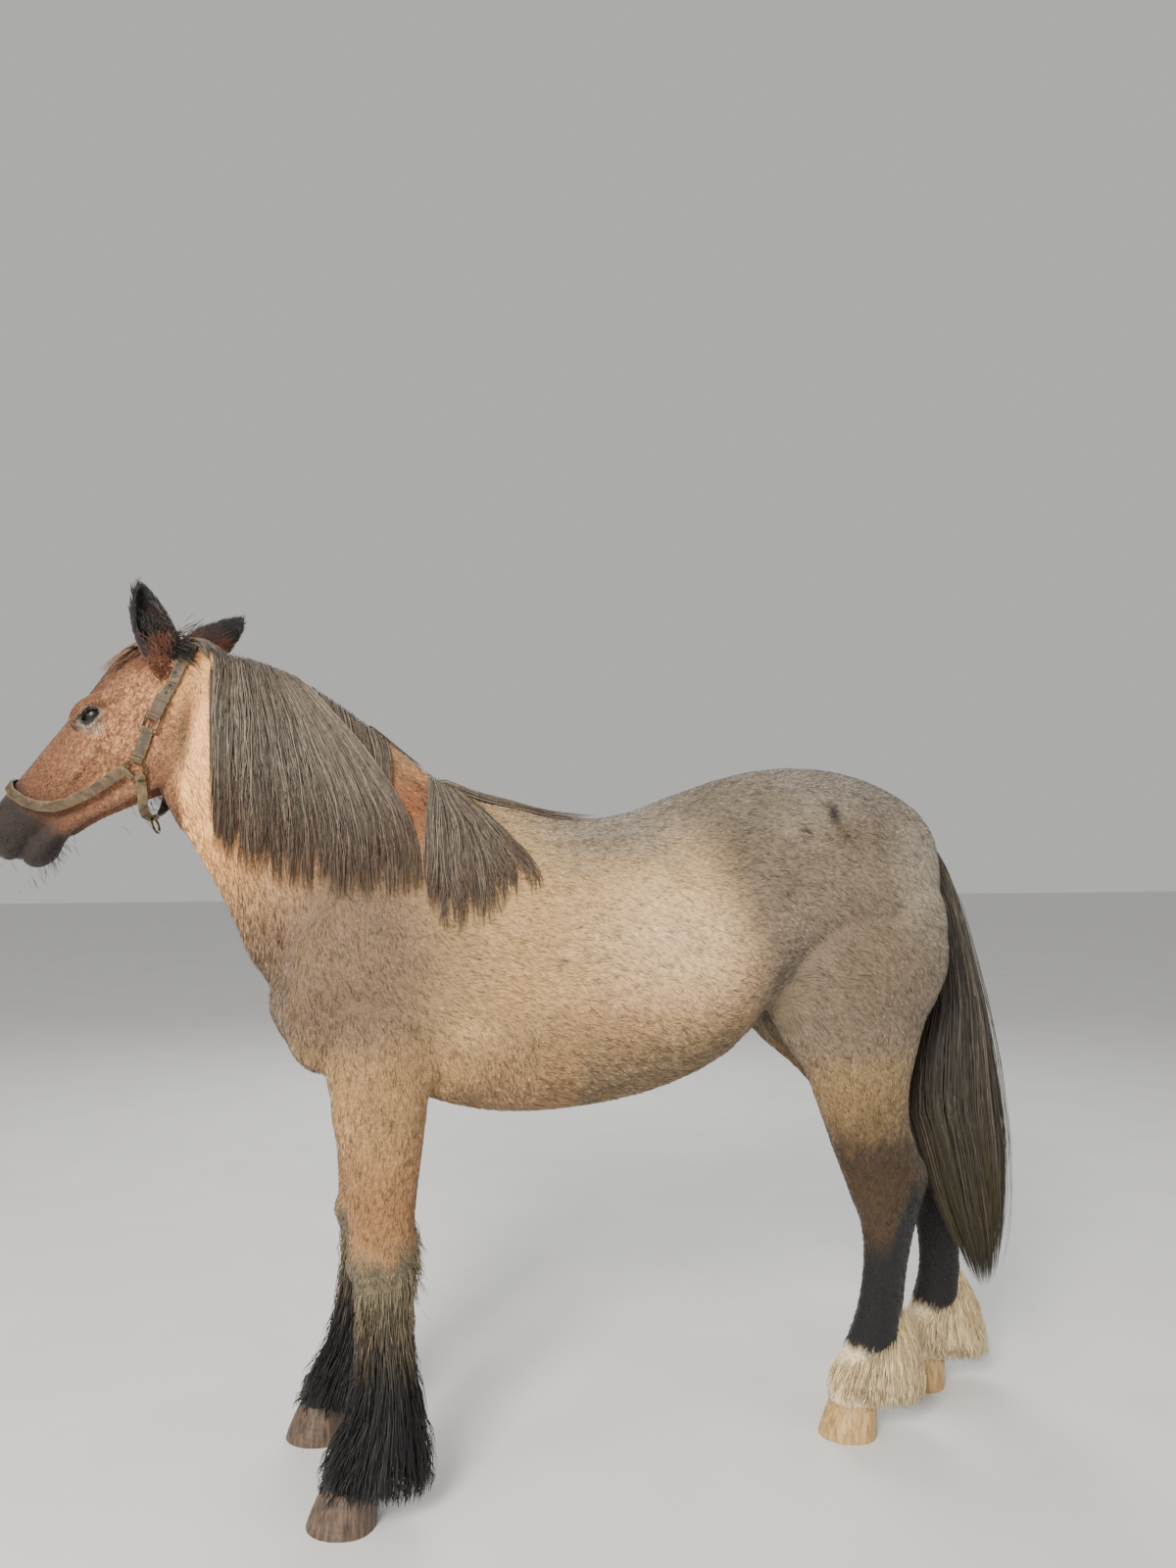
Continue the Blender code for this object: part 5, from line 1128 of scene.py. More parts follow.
def side_guides(tree, table, count, steps, settle=1.35):
    """Guide paths down the neck's left side. A row of the table is the root's x, and the tip's x and z."""
    rows = np.array(table, float)
    picks = np.linspace(0, len(rows) - 1, count)
    paths, faces = [], []
    for x0, x1, z1 in (np.array([np.interp(k, range(len(rows)), rows[:, c]) for c in range(3)])
                       for k in picks):
        crest, _, _, _ = tree.ray_cast(Vector((x0, -0.004, 3)), Vector((0, 0, -1)))
        path, facing = [np.array(crest)], [np.array([0, -0.5, 0.8])]
        for share in np.linspace(0, 1, steps)[1:]:
            across = 1 - (1 - min(1, share * settle)) ** 1.3
            x, z = x0 + (x1 - x0) * across, crest.z - 0.004 - (crest.z - z1) * share
            spot, normal, _, _ = tree.ray_cast(Vector((x, -1, z)), Vector((0, 1, 0)))
            path.append(np.array(spot) if spot else path[-1] + np.array([0, 0, -0.02]))
            facing.append(np.array(normal) if normal else facing[-1])
        paths.append(path)
        faces.append(facing)
    return soft_rows(np.array(paths)), soft_rows(np.array(faces))


def soft_rows(grid):
    """The grid with each path evened along its length."""
    for _ in range(2):
        grid[:, 1:-1] = grid[:, 1:-1] * 0.5 + (grid[:, :-2] + grid[:, 2:]) * 0.25
    return grid


def top_guides(tree, line, offsets, steps):
    """Guide paths that run back along the top line, at these distances to the side."""
    spine = blend_along(line, steps)
    paths, faces = [], []
    for offset in offsets:
        path = []
        for x, y in spine:
            spot, _, _, _ = tree.ray_cast(Vector((x, y + offset, 3)), Vector((0, 0, -1)))
            path.append(np.array(spot))
        paths.append(path)
        faces.append([np.array([0.0, 6 * offset, 1.0])] * steps)
    return soft_rows(np.array(paths)), np.array(faces)


MANE_DARK = tone("463c33")
MANE_LIGHT = tone("85796a")
MANE_ENDS = tone("5a3e2b")
TAIL_DARK = tone("2e2a27")
TAIL_LIGHT = tone("6a6051")
TAIL_ENDS = tone("413a1d")
FEATHER_BLACK = tone("161517")
FEATHER_GREY = tone("746952")
FEATHER_CREAM = tone("d8c69f")
FEATHER_TAN = tone("b79a70")


def mane_look(chance, count, rings):
    """The mane's strands: how they turn from root to tip."""
    return hair_colour(chance, count, rings, MANE_DARK, MANE_LIGHT, 0.36, MANE_ENDS, 0.66)


def tail_look(chance, count, rings):
    """The tail's strands: how they turn from root to tip."""
    return hair_colour(chance, count, rings, TAIL_DARK, TAIL_LIGHT, 0.20, TAIL_ENDS, 0.5)


def make_mane(tree, chance):
    """The mane on the neck's left side, its last hank over the shoulder and the strand along the withers."""
    fall = [
        (-1.008, -0.992, 1.42), (-0.975, -0.955, 1.375), (-0.930, -0.880, 1.340), (-0.895, -0.800, 1.318),
        (-0.868, -0.730, 1.306), (-0.848, -0.665, 1.302), (-0.830, -0.605, 1.304), (-0.815, -0.550, 1.310),
    ]
    short = [(-0.850, -0.815, 1.46), (-0.775, -0.745, 1.46), (-0.710, -0.680, 1.45), (-0.650, -0.630, 1.46),
             (-0.612, -0.606, 1.50)]
    fan = [
        (-0.512, -0.548, 1.330), (-0.508, -0.530, 1.275), (-0.500, -0.497, 1.225), (-0.492, -0.450, 1.225),
        (-0.482, -0.392, 1.265), (-0.470, -0.330, 1.300), (-0.462, -0.285, 1.330),
    ]
    front = side_guides(tree, fall, 40, 18)
    back = side_guides(tree, short, 16, 14)
    hank = side_guides(tree, fan, 16, 16, 1.2)
    withers = top_guides(tree, [(-0.49, 0), (-0.40, -0.006), (-0.32, -0.014), (-0.22, -0.026),
                                (-0.10, -0.034)], (-0.030, 0.004), 14)
    crest = top_guides(tree, [(-0.66, 0), (-0.58, 0), (-0.50, 0)], (-0.012, 0.006), 8)
    poll = top_guides(tree, [(-1.062, 0.0), (-1.03, -0.014), (-0.995, -0.034), (-0.965, -0.050)],
                      (-0.034, 0.036), 8)
    edge = side_guides(tree, [(-1.012, -1.000, 1.43), (-1.006, -0.984, 1.40)], 8, 18)
    full = FULLNESS
    deep = [
        sheet_of_hair("deep", chance, int(2100 * full), 10, front, 60, 0.35, 0.006, mane_look, 0.0036, 0.72),
        sheet_of_hair("deep_short", chance, int(520 * full), 9, back, 24, 0.3, 0.008, mane_look, 0.0034,
                      0.70),
        sheet_of_hair("deep_fan", chance, int(520 * full), 10, hank, 18, 0.5, 0.006, mane_look, 0.0032, 0.66,
                      2.0),
        sheet_of_hair("poll", chance, int(420 * full), 9, poll, 14, 0.5, 0.024, mane_look, 0.0030, 0.70),
    ]
    outer = [
        sheet_of_hair("outer", chance, int(1750 * full), 12, front, 100, 0.85, 0.017, mane_look, 0.0020,
                      0.70, 1.3),
        sheet_of_hair("edge", chance, int(40 * full), 12, edge, 9, 0.3, 0.008, mane_look, 0.0016, 0.40, 2.2),
        sheet_of_hair("outer_short", chance, int(380 * full), 10, back, 34, 0.7, 0.014, mane_look, 0.0022,
                      0.70),
        sheet_of_hair("outer_fan", chance, int(620 * full), 12, hank, 17, 1.0, 0.015, mane_look, 0.0020,
                      0.68, 2.2),
        sheet_of_hair("strand", chance, int(200 * full), 12, withers, 5, 0.6, 0.014, mane_look, 0.0028, 0.50),
        sheet_of_hair("wisp", chance, int(30 * full), 8, crest, 3, 0.7, 0.006, mane_look, 0.0024, 0.6),
    ]
    return [joined_hair("mane_under", deep), joined_hair("mane", outer)]


def joined_hair(name, pieces):
    """Hair meshes gathered in one piece, with their colour and bake map."""
    for other in bpy.context.selected_objects:
        other.select_set(False)
    for piece in pieces:
        piece.select_set(True)
    bpy.context.view_layer.objects.active = pieces[0]
    bpy.ops.object.join()
    pieces[0].name = pieces[0].data.name = name
    return pieces[0]


# The tail's outside: centre x, y, z and the radii along X and Y.
TAIL = [
    (0.738, 0.000, 1.500, 0.012, 0.012),
    (0.768, 0.000, 1.450, 0.044, 0.034),
    (0.805, 0.000, 1.375, 0.054, 0.043),
    (0.840, 0.000, 1.280, 0.058, 0.050),
    (0.854, -0.005, 1.180, 0.062, 0.058),
    (0.864, -0.015, 1.030, 0.076, 0.066),
    (0.850, -0.030, 0.885, 0.104, 0.070),
    (0.847, -0.040, 0.760, 0.120, 0.070),
    (0.866, -0.045, 0.660, 0.110, 0.066),
    (0.888, -0.045, 0.520, 0.090, 0.058),
    (0.906, -0.045, 0.430, 0.068, 0.048),
    (0.922, -0.042, 0.330, 0.038, 0.032),
    (0.930, -0.040, 0.265, 0.010, 0.010),
]


def form_points(rows, heights, around, reach):
    """Points on a hair form at heights, angles from the front and shares of its radii."""
    table = np.array(rows)[::-1]
    x, y, rx, ry = [np.interp(heights, table[:, 2], table[:, k]) for k in (0, 1, 3, 4)]
    return np.stack([x - np.cos(around) * rx * reach, y + np.sin(around) * ry * reach, heights], axis=-1)


def fall_of_hair(name, rows, chance, roots, tips, rings, reach_in, reach_out, clumps, tight, colours, width,
                 around, wave=1.0):
    """Hair round a hair form, from its root heights to its tip heights, gathered in clumps."""
    count = len(roots)
    clump_angle = chance.uniform(0, 2 * math.pi, clumps)
    clump_reach = chance.uniform(0.80, 1.0, clumps)
    jitter = chance.uniform(0, 0.25, (count, clumps))
    gap = np.abs(np.angle(np.exp(1j * (around[:, None] - clump_angle[None])))) + jitter
    nearest = gap.argmin(axis=1)
    share = np.linspace(0, 1, rings)[None, :]
    pull = fade(share, 0.05, 1.0) * tight * chance.uniform(0.5, 1.0, count)[:, None]
    turn = np.angle(np.exp(1j * (clump_angle[nearest] - around)))[:, None]
    angle = around[:, None] + turn * pull
    height = roots[:, None] + (tips - roots)[:, None] * share
    reach = reach_in + (reach_out * clump_reach[nearest] - reach_in)[:, None] * np.minimum(1, share * 2.4)
    reach = reach * chance.uniform(0.88, 1.06, count)[:, None]
    reach = reach + 0.03 * wave * np.sin(share * 7 + nearest[:, None] * 1.9)
    shift = chance.normal(0, 0.3, count)[:, None]
    angle = angle + 0.06 * wave * np.sin(share * 6 + nearest[:, None] * 2.3 + shift)
    paths = form_points(rows, height, angle, reach)
    middle = form_points(rows, height, angle, np.zeros_like(reach))
    facing = paths - middle + np.array([0, 0, 1e-4])
    facing /= np.maximum(np.linalg.norm(facing, axis=2), 1e-9)[:, :, None]
    widths = width * chance.uniform(0.7, 1.35, count)
    uv = np.stack([0.02 + 0.96 * (around % 6.2832) / 6.2832, 0.02 + 0.96 * chance.random(count)], axis=1)
    return strands(name, paths, facing, widths, 0.6, colours, uv)


def make_tail(chance):
    """The tail: a deep and an outer layer of long hair, and the shorter hair that covers the dock."""
    made = []
    for name, lots in (
        ("tail_under", [(1300, (1.02, 1.30), (0.285, 0.50), 0.45, 0.70, 40, 0.6, 0.0040)]),
        ("tail_hair", [
            (1500, (1.10, 1.42), (0.30, 0.62), 0.80, 1.04, 60, 0.75, 0.0032),
            (620, (1.22, 1.485), (0.72, 1.10), 0.86, 1.04, 40, 0.4, 0.0030),
            (120, (1.00, 1.30), (0.30, 0.60), 0.95, 1.28, 14, 0.7, 0.0022),
        ]),
    ):
        pieces = []
        for count, high, low, reach_in, reach_out, clumps, tight, width in lots:
            count = int(count * FULLNESS)
            roots, tips = chance.uniform(*high, count), chance.uniform(*low, count)
            around = chance.uniform(0, 2 * math.pi, count)
            colours = tail_look(chance, count, 12)
            pieces.append(
                fall_of_hair("lot", TAIL, chance, roots, tips, 12, reach_in, reach_out, clumps, tight,
                             colours, width, around)
            )
        made.append(joined_hair(name, pieces))
    return made


# The outside of the hair round a lower leg, from the top down: height, front x, back x and half width.
FORE_HAIR = [
    (0.560, -0.700, -0.548, 0.066), (0.500, -0.692, -0.550, 0.061), (0.450, -0.686, -0.554, 0.056),
    (0.400, -0.679, -0.556, 0.050),
    (0.350, -0.680, -0.552, 0.052), (0.290, -0.684, -0.543, 0.060), (0.215, -0.704, -0.528, 0.073),
    (0.145, -0.738, -0.515, 0.086), (0.090, -0.755, -0.513, 0.094), (0.050, -0.758, -0.520, 0.095),
    (0.010, -0.758, -0.530, 0.093),
]
HIND_HAIR = [
    (0.330, 0.552, 0.660, 0.040), (0.290, 0.546, 0.672, 0.046), (0.250, 0.532, 0.684, 0.056),
    (0.210, 0.505, 0.696, 0.066), (0.170, 0.478, 0.704, 0.075), (0.130, 0.463, 0.710, 0.081),
    (0.090, 0.462, 0.708, 0.084), (0.050, 0.470, 0.694, 0.085), (0.010, 0.474, 0.680, 0.084),
]


def feather(side, hind, chance):
    """The long hair of one lower leg: its roots climb the leg and are highest at the back."""
    shift, out = (HIND_SHIFT, HIND_Y) if hind else (FORE_SHIFT, FORE_Y)
    table = HIND_HAIR if hind else FORE_HAIR
    rows = [((a + b) / 2 + shifted(side, shift, z), side * out, z, 0, 0) for z, a, b, w in table]
    rows = [(x, y, z, (b - a) / 2, w) for (x, y, _, _, _), (z, a, b, w) in zip(rows, table)]
    pieces = []
    for count, reach_in, reach_out, tight, width in ((1500, 0.66, 0.94, 0.2, 0.0032),
                                                     (3000, 0.80, 1.02, 0.35, 0.0023)):
        count = int(count * FULLNESS * (0.72 if hind else 1))
        around = chance.uniform(0, 2 * math.pi, count)
        back = (1 - np.cos(around)) / 2
        if hind:
            roots = chance.uniform(0.10, 0.198 + 0.092 * back**2)
            tips = np.maximum(roots - chance.uniform(0.06, 0.11, count) * (1 + 0.7 * back),
                              0.100 - 0.050 * back)
            tan = 0.20 + 0.45 * fade(back, 0.5, 0.9) * fade(roots, 0.14, 0.22)
            colours = hair_colour(chance, count, 5, FEATHER_CREAM, FEATHER_TAN, tan, FEATHER_CREAM * 0.85,
                                  0.6)
        else:
            roots = chance.uniform(0.085, 0.49 + 0.06 * back)
            long = chance.uniform(0.06, 0.10, count) * (1 + 0.6 * back) * (1 - 0.35 * fade(roots, 0.33, 0.45))
            tips = np.maximum(roots - long, 0.085 - 0.045 * back)
            share = fade(roots + chance.normal(0, 0.025, count), 0.31, 0.50)[:, None, None]
            dark = hair_colour(chance, count, 5, FEATHER_BLACK, FEATHER_BLACK * 2.2, 0.2, FEATHER_BLACK, 0.75)
            grey = hair_colour(chance, count, 5, CANNON_GREY, FEATHER_GREY * 1.25, 0.4, CANNON_GREY * 0.7,
                               0.7)
            colours = dark * (1 - share) + grey * share
        tips = np.minimum(tips + chance.uniform(0, 0.022, count), roots - 0.03)
        pieces.append(
            fall_of_hair("lot", rows, chance, roots, tips, 5, reach_in, reach_out, 90, tight, colours, width,
                         around, 0.3)
        )
    return joined_hair(SIDES[side] + ("_hind_feather" if hind else "_fore_feather"), pieces)


def loose_hair(name, chance, roots, ways, lengths, width, colours, droop=0.35, rings=5):
    """Single hairs that leave the skin along their ways and droop towards their tips."""
    count = len(roots)
    share = np.linspace(0, 1, rings)[None, :, None]
    paths = roots[:, None] + ways[:, None] * lengths[:, None, None] * share
    paths = paths + np.array([0, 0, -1.0]) * (lengths[:, None, None] * droop * share**2)
    facing = np.cross(ways, chance.normal(0, 1, (count, 3)))
    facing = np.repeat(facing[:, None], rings, axis=1)
    facing /= np.maximum(np.linalg.norm(facing, axis=2), 1e-9)[:, :, None]
    uv = 0.02 + 0.96 * chance.random((count, 2))
    return strands(name, paths, facing, width * chance.uniform(0.7, 1.3, count), 0.7, colours, uv)


def make_small_hair(chance):
    """Fuzz in the ears, black hair behind the near ear, lashes, whiskers and the tufts behind the knees."""
    pieces = []

    def place(count, centre, spread, way, stray, length, width, colour, droop=0.35, head=True):
        """One lot of short hairs round a centre."""
        count = max(3, int(count * FULLNESS))
        roots = np.array(centre) + chance.normal(0, 1, (count, 3)) * np.array(spread)
        ways = np.array(way) + chance.normal(0, stray, (count, 3))
        if head:
            turn = np.array(HEAD)
            roots, ways = roots @ turn[:3, :3].T + turn[:3, 3], ways @ turn[:3, :3].T
        ways /= np.linalg.norm(ways, axis=1)[:, None]
        long = length * chance.uniform(0.6, 1.15, count)
        shades = np.repeat((colour * chance.uniform(0.6, 1.4, count)[:, None])[:, None], 5, axis=1)
        pieces.append(loose_hair("lot", chance, roots, ways, long, width, shades, droop))

    for _, _, base, tip_way, open_way in EARS:
        along, mouth = np.array(Vector(tip_way).normalized()), np.array(Vector(open_way).normalized())
        floor = np.array(base)
        place(420, floor + along * 0.045 + mouth * 0.004, (0.010, 0.010, 0.026), along + mouth * 0.30, 0.22,
              0.040, 0.0016, EAR_BLACK * 1.6, 0.1)
        place(320, floor + along * 0.004 + mouth * 0.020, (0.018, 0.008, 0.012), along + mouth * 0.2, 0.26,
              0.042, 0.0014, EAR_RED * 1.3, 0.1)
    place(520, (-0.012, -0.068, -0.066), (0.012, 0.008, 0.018), (0.80, -0.20, -0.35), 0.26, 0.058, 0.0020,
          EAR_BLACK * 1.6, 0.5)
    place(520, (-0.046, -0.074, -0.098), (0.011, 0.006, 0.014), (0.30, -0.45, 0.15), 0.30, 0.026, 0.0014,
          EAR_RED * 1.5, 0.4)
    for side in SIDES:
        eye = np.array([EYE_AT.x, side * EYE_AT.y, EYE_AT.z])
        place(60, eye + (0.004, side * 0.020, 0.013), (0.010, 0.002, 0.002), (-0.15, side * 1.0, 0.15), 0.25,
              0.017, 0.0009, EYE_SKIN, 0.9)
        place(12, eye + (0.0, side * 0.014, -0.026), (0.012, 0.002, 0.003), (-0.3, side * 1.0, -0.6), 0.3,
              0.035, 0.0008, EYE_SKIN, 0.3)
        place(34, (-0.525, side * 0.045, -0.085), (0.022, 0.006, 0.020), (-0.5, side * 0.8, -0.5), 0.35,
              0.030, 0.0008, EYE_SKIN, 0.3)
        knee = (-0.556 + shifted(side, FORE_SHIFT, 0.54), side * FORE_Y, 0.545)
        place(240, knee, (0.006, 0.018, 0.040), (0.28, 0, -1.0), 0.16, 0.040, 0.0014, FEATHER_GREY * 0.9,
              0.1, False)
    place(60, (-0.50, 0, -0.165), (0.030, 0.020, 0.004), (-0.2, 0, -1), 0.35, 0.030, 0.0009, EYE_SKIN, 0.2)
    place(420, (-0.21, 0, -0.235), (0.040, 0.020, 0.008), (0.3, 0, -1), 0.35, 0.022, 0.0011, HEAD_DARK, 0.5)
    return joined_hair("small_hair", pieces)


def make_forelock(tree, chance):
    """The thin forelock that falls from the poll over the left of the forehead."""
    turn = HEAD.to_3x3()
    count = int(260 * FULLNESS)
    paths, faces = [], []
    for _ in range(count):
        share = chance.random()
        root = HEAD @ Vector((-0.030 + chance.normal(0, 0.006), -0.008 + 0.022 * share, -0.078))
        pull = turn @ Vector((-1, -0.42 + 0.50 * share + chance.normal(0, 0.06), -0.10))
        length = 0.17 * chance.uniform(0.6, 1.1)
        path, facing = hang(tree, root, turn @ Vector((-0.8, 0, 1.0)), length, 9,
                            0.001 + 0.006 * chance.random(), pull)
        paths.append(path)
        faces.append(facing)
    look = hair_colour(chance, count, 10, tone("6b4a38"), tone("a98a70"), 0.4, tone("7c5a44"))
    uv = 0.02 + 0.96 * chance.random((count, 2))
    widths = 0.0020 * chance.uniform(0.7, 1.3, count)
    return strands("forelock", np.array(paths), np.array(faces), widths, 0.6, look, uv)


LEATHER_DARK = tone("261c12")
LEATHER_MID = tone("4d3d29")
LEATHER_WORN = tone("8b7757")


def sharp_spots(piece, angle, gap):
    """Points along a piece's sharp edges, at most a gap apart."""
    bm = bmesh.new()
    bm.from_mesh(piece.data)
    bmesh.ops.remove_doubles(bm, verts=bm.verts, dist=0.00002)
    spots = []
    for edge in bm.edges:
        if len(edge.link_faces) == 2 and edge.calc_face_angle(0) > angle:
            count = max(2, int(edge.calc_length() / gap) + 2)
            spots += [edge.verts[0].co.lerp(edge.verts[1].co, k / (count - 1)) for k in range(count)]
    bm.free()
    tree = KDTree(len(spots))
    for index, spot in enumerate(spots):
        tree.insert(spot, index)
    tree.balance()
    return tree


def worn_leather(name, share):
    """A finer copy of a strap: rounded at its edges, paler along them and stained in between."""
    piece = bpy.data.objects.new(name + "_fine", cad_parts[name].data.copy())
    bpy.context.scene.collection.objects.link(piece)
    edges = sharp_spots(piece, 0.9, 0.002)
    fine = piece.modifiers.new("fine", "REMESH")
    fine.mode = "VOXEL"
    fine.voxel_size = 0.0010
    settle(piece)
    rounding = piece.modifiers.new("rounding", "SMOOTH")
    rounding.factor = 0.5
    rounding.iterations = 4
    fewer = piece.modifiers.new("fewer faces", "DECIMATE")
    fewer.ratio = share / (len(piece.data.polygons) * 2)
    settle(piece)
    spots = points_of(piece.data)
    far = np.array([edges.find(Vector(spot))[2] for spot in spots])
    stain = 0.5 + 0.5 * mottle(spots, 0.011, 51) + 0.25 * mottle(spots, 0.004, 52)
    worn = (1 - fade(far, 0.0004, 0.0026)) * (0.75 + 0.35 * mottle(spots, 0.008, 53))
    seam = 1 - fade(np.abs(far - 0.0036), 0.0003, 0.0011)
    paint = LEATHER_DARK + (LEATHER_MID - LEATHER_DARK) * np.clip(stain, 0, 1)[:, None]
    paint = paint * (1 - 0.45 * seam[:, None])
    paint = paint + (LEATHER_WORN - paint) * np.clip(worn, 0, 1)[:, None] * 0.8
    paint_points(piece.data, paint)
    return smooth_shaded(piece)


def collar_details(step):
    """Punched holes, as near-black caps of painted shade, and two rows of stitches on the collar's straps, in
    the row frame.
    """
    verts, faces, shades = [], [], []

    def add(rings, centre_high, colour):
        """A small cap: a ring of points and its middle."""
        start, sides = len(verts), len(rings)
        verts.extend(rings + [centre_high])
        shades.extend([colour] * (sides + 1))
        faces.extend([start + k, start + (k + 1) % sides, start + sides] for k in range(sides))

    for name, line, wide, count in COLLAR_LINES:
        node = tree_of(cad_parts[name])
        outside = []
        for x, y, z in blend_along(line, count):
            spot = HEAD @ Vector((x, y, z)) + step
            away = (spot - HEAD @ Vector((x, 0, -0.16)) - step).normalized()
            outside.append(node.find_nearest(spot + away * 0.03)[:2])
        for k in range(2, count - 2):
            run = (outside[k + 1][0] - outside[k - 1][0]).normalized()
            across = run.cross(outside[k][1]).normalized()
            for row in (-1, 1):
                spot, normal, _, _ = node.find_nearest(outside[k][0] + across * row * (wide / 2 - 0.0036)
                                                       + outside[k][1] * 0.004)
                side = run.cross(normal).normalized()
                shape = [(1, 0), (0, 1), (-1, 0), (0, -1)]
                rings = [spot + run * c * 0.0015 + side * s * 0.0006 + normal * 0.0001 for c, s in shape]
                add(rings, spot + normal * 0.0005, LEATHER_WORN * 0.9)
    node = tree_of(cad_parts["crown_strap"])
    for place in HOLES:
        aim = HEAD @ Vector((place[0], place[1] * 1.3, place[2])) + step
        spot, normal, _, _ = node.find_nearest(aim)
        side = normal.orthogonal().normalized()
        other = normal.cross(side)
        turns = [2 * math.pi * k / 14 for k in range(14)]
        rim = [spot + (side * math.cos(a) + other * math.sin(a)) * 0.0042 + normal * 0.0001 for a in turns]
        # Each punched hole is a flat near-black cap: painted shade in place of the hole's depth.
        add(rim, spot + normal * 0.0007, LEATHER_DARK * 0.35)
    points = np.array([list(v) for v in verts])
    piece = mesh_from("collar_stitches", points, np.array(faces), np.array(shades))
    return piece


def collar_tab(step):
    """The strap's loose end above the buckle, held by a broad loop of leather, in the row frame."""
    node = tree_of(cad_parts["crown_strap"])
    pieces = []
    for x, y, z, long, wide, high, rise in TAB:
        spot, normal, _, _ = node.find_nearest(HEAD @ Vector((x, y * 1.3, z)) + step)
        run = (HEAD.to_3x3() @ Vector((-0.9, 0, -0.33))).normalized()
        run = (run - normal * run.dot(normal)).normalized()
        place = Matrix((run, normal.cross(run), normal)).transposed().to_4x4()
        place = Matrix.Translation(spot + normal * rise) @ place
        pieces.append(block("tab", (-long / 2, -wide / 2, 0), (long / 2, wide / 2, high), place,
                            rounded=0.0011))
    piece = joined("collar_tab", pieces)
    spots = points_of(piece.data)
    paint_points(piece.data, LEATHER_MID * (0.9 + 0.35 * mottle(spots, 0.008, 61))[:, None])
    return smooth_shaded(piece)


def coronet(side, hind):
    """Where a hoof's top cut stands and how it leans: centre x and z, and the tilt in degrees."""
    if hind:
        return Vector((0.535 + shifted(side, HIND_SHIFT, 0.08), side * HIND_Y, 0.076)), 17
    return Vector((-0.672 + shifted(side, FORE_SHIFT, 0.08), side * FORE_Y, 0.080)), 17


def hoof(name, side, hind):
    """A hoof: a flaring wall with growth rings and a flat sole at z = 0, cut off along the coronet."""
    centre, lean = coronet(side, hind)
    rows = [
        (0.135, 0.020, 0.036, 0.038, 0.045),
        (0.105, 0.006, 0.046, 0.052, 0.058),
        (0.075, -0.004, 0.052, 0.062, 0.065),
        (0.040, -0.012, 0.057, 0.074, 0.070),
        (0.010, -0.017, 0.060, 0.083, 0.073),
        (-0.015, -0.020, 0.060, 0.088, 0.074),
        (-0.045, -0.022, 0.058, 0.086, 0.072),
    ]
    size = 0.94 if hind else 1.0
    stations = []
    for z, shift, rear, front, wide in rows:
        stations.append((centre.x + shift * size, centre.y, z, rear * size, front * size, wide * size))
    horn = drawn_ball(name, stations, rings=48, sides=56)
    for vert in horn.data.vertices:
        out = Vector((vert.co.x - centre.x, vert.co.y - centre.y, 0)).normalized()
        ridge = math.sin((vert.co.z + 0.12 * (vert.co.x - centre.x)) * 520)
        vert.co -= out * (0.0007 - 0.0005 * ridge)
    top = Matrix.Translation(centre) @ Matrix.Rotation(math.radians(lean), 4, "Y")
    combine(horn, block("above the coronet", (-0.3, -0.3, 0), (0.3, 0.3, 0.3), top), "DIFFERENCE")
    combine(horn, block("below the floor", (-2, -1, -0.2), (2, 1, 0)), "DIFFERENCE")
    return smooth_shaded(horn)


def node_material(name):
    """A new material with an empty node tree of its own."""
    material = bpy.data.materials.new(name)
    material.use_nodes = True
    tree = material.node_tree
    return material, tree, tree.nodes["Principled BSDF"]


def add_node(tree, kind, **settings):
    """A node with its settings."""
    node = tree.nodes.new(kind)
    for key, value in settings.items():
        if key.startswith("in_"):
            node.inputs[key[3:].replace("_", " ")].default_value = value
        else:
            setattr(node, key, value)
    return node


def noise_node(tree, source, scale, detail=3.0, stretch=(1, 1, 1)):
    """Noise on a coordinate, drawn out along its axes."""
    mapping = add_node(tree, "ShaderNodeMapping")
    mapping.inputs["Scale"].default_value = stretch
    tree.links.new(source, mapping.inputs["Vector"])
    noise = add_node(tree, "ShaderNodeTexNoise", in_Scale=scale, in_Detail=detail)
    tree.links.new(mapping.outputs["Vector"], noise.inputs["Vector"])
    return noise.outputs["Fac"]


def ramp(tree, source, stops):
    """A colour ramp over a value."""
    node = add_node(tree, "ShaderNodeValToRGB")
    elements = node.color_ramp.elements
    while len(elements) < len(stops):
        elements.new(0.5)
    for element, (place, colour) in zip(elements, stops):
        element.position = place
        element.color = (*colour, 1)
    tree.links.new(source, node.inputs["Fac"])
    return node.outputs["Color"]


def bump(tree, shader, height, strength, distance):
    """Raises a shader's surface by a height."""
    node = add_node(tree, "ShaderNodeBump", in_Strength=strength, in_Distance=distance)
    tree.links.new(height, node.inputs["Height"])
    tree.links.new(node.outputs["Normal"], shader.inputs["Normal"])


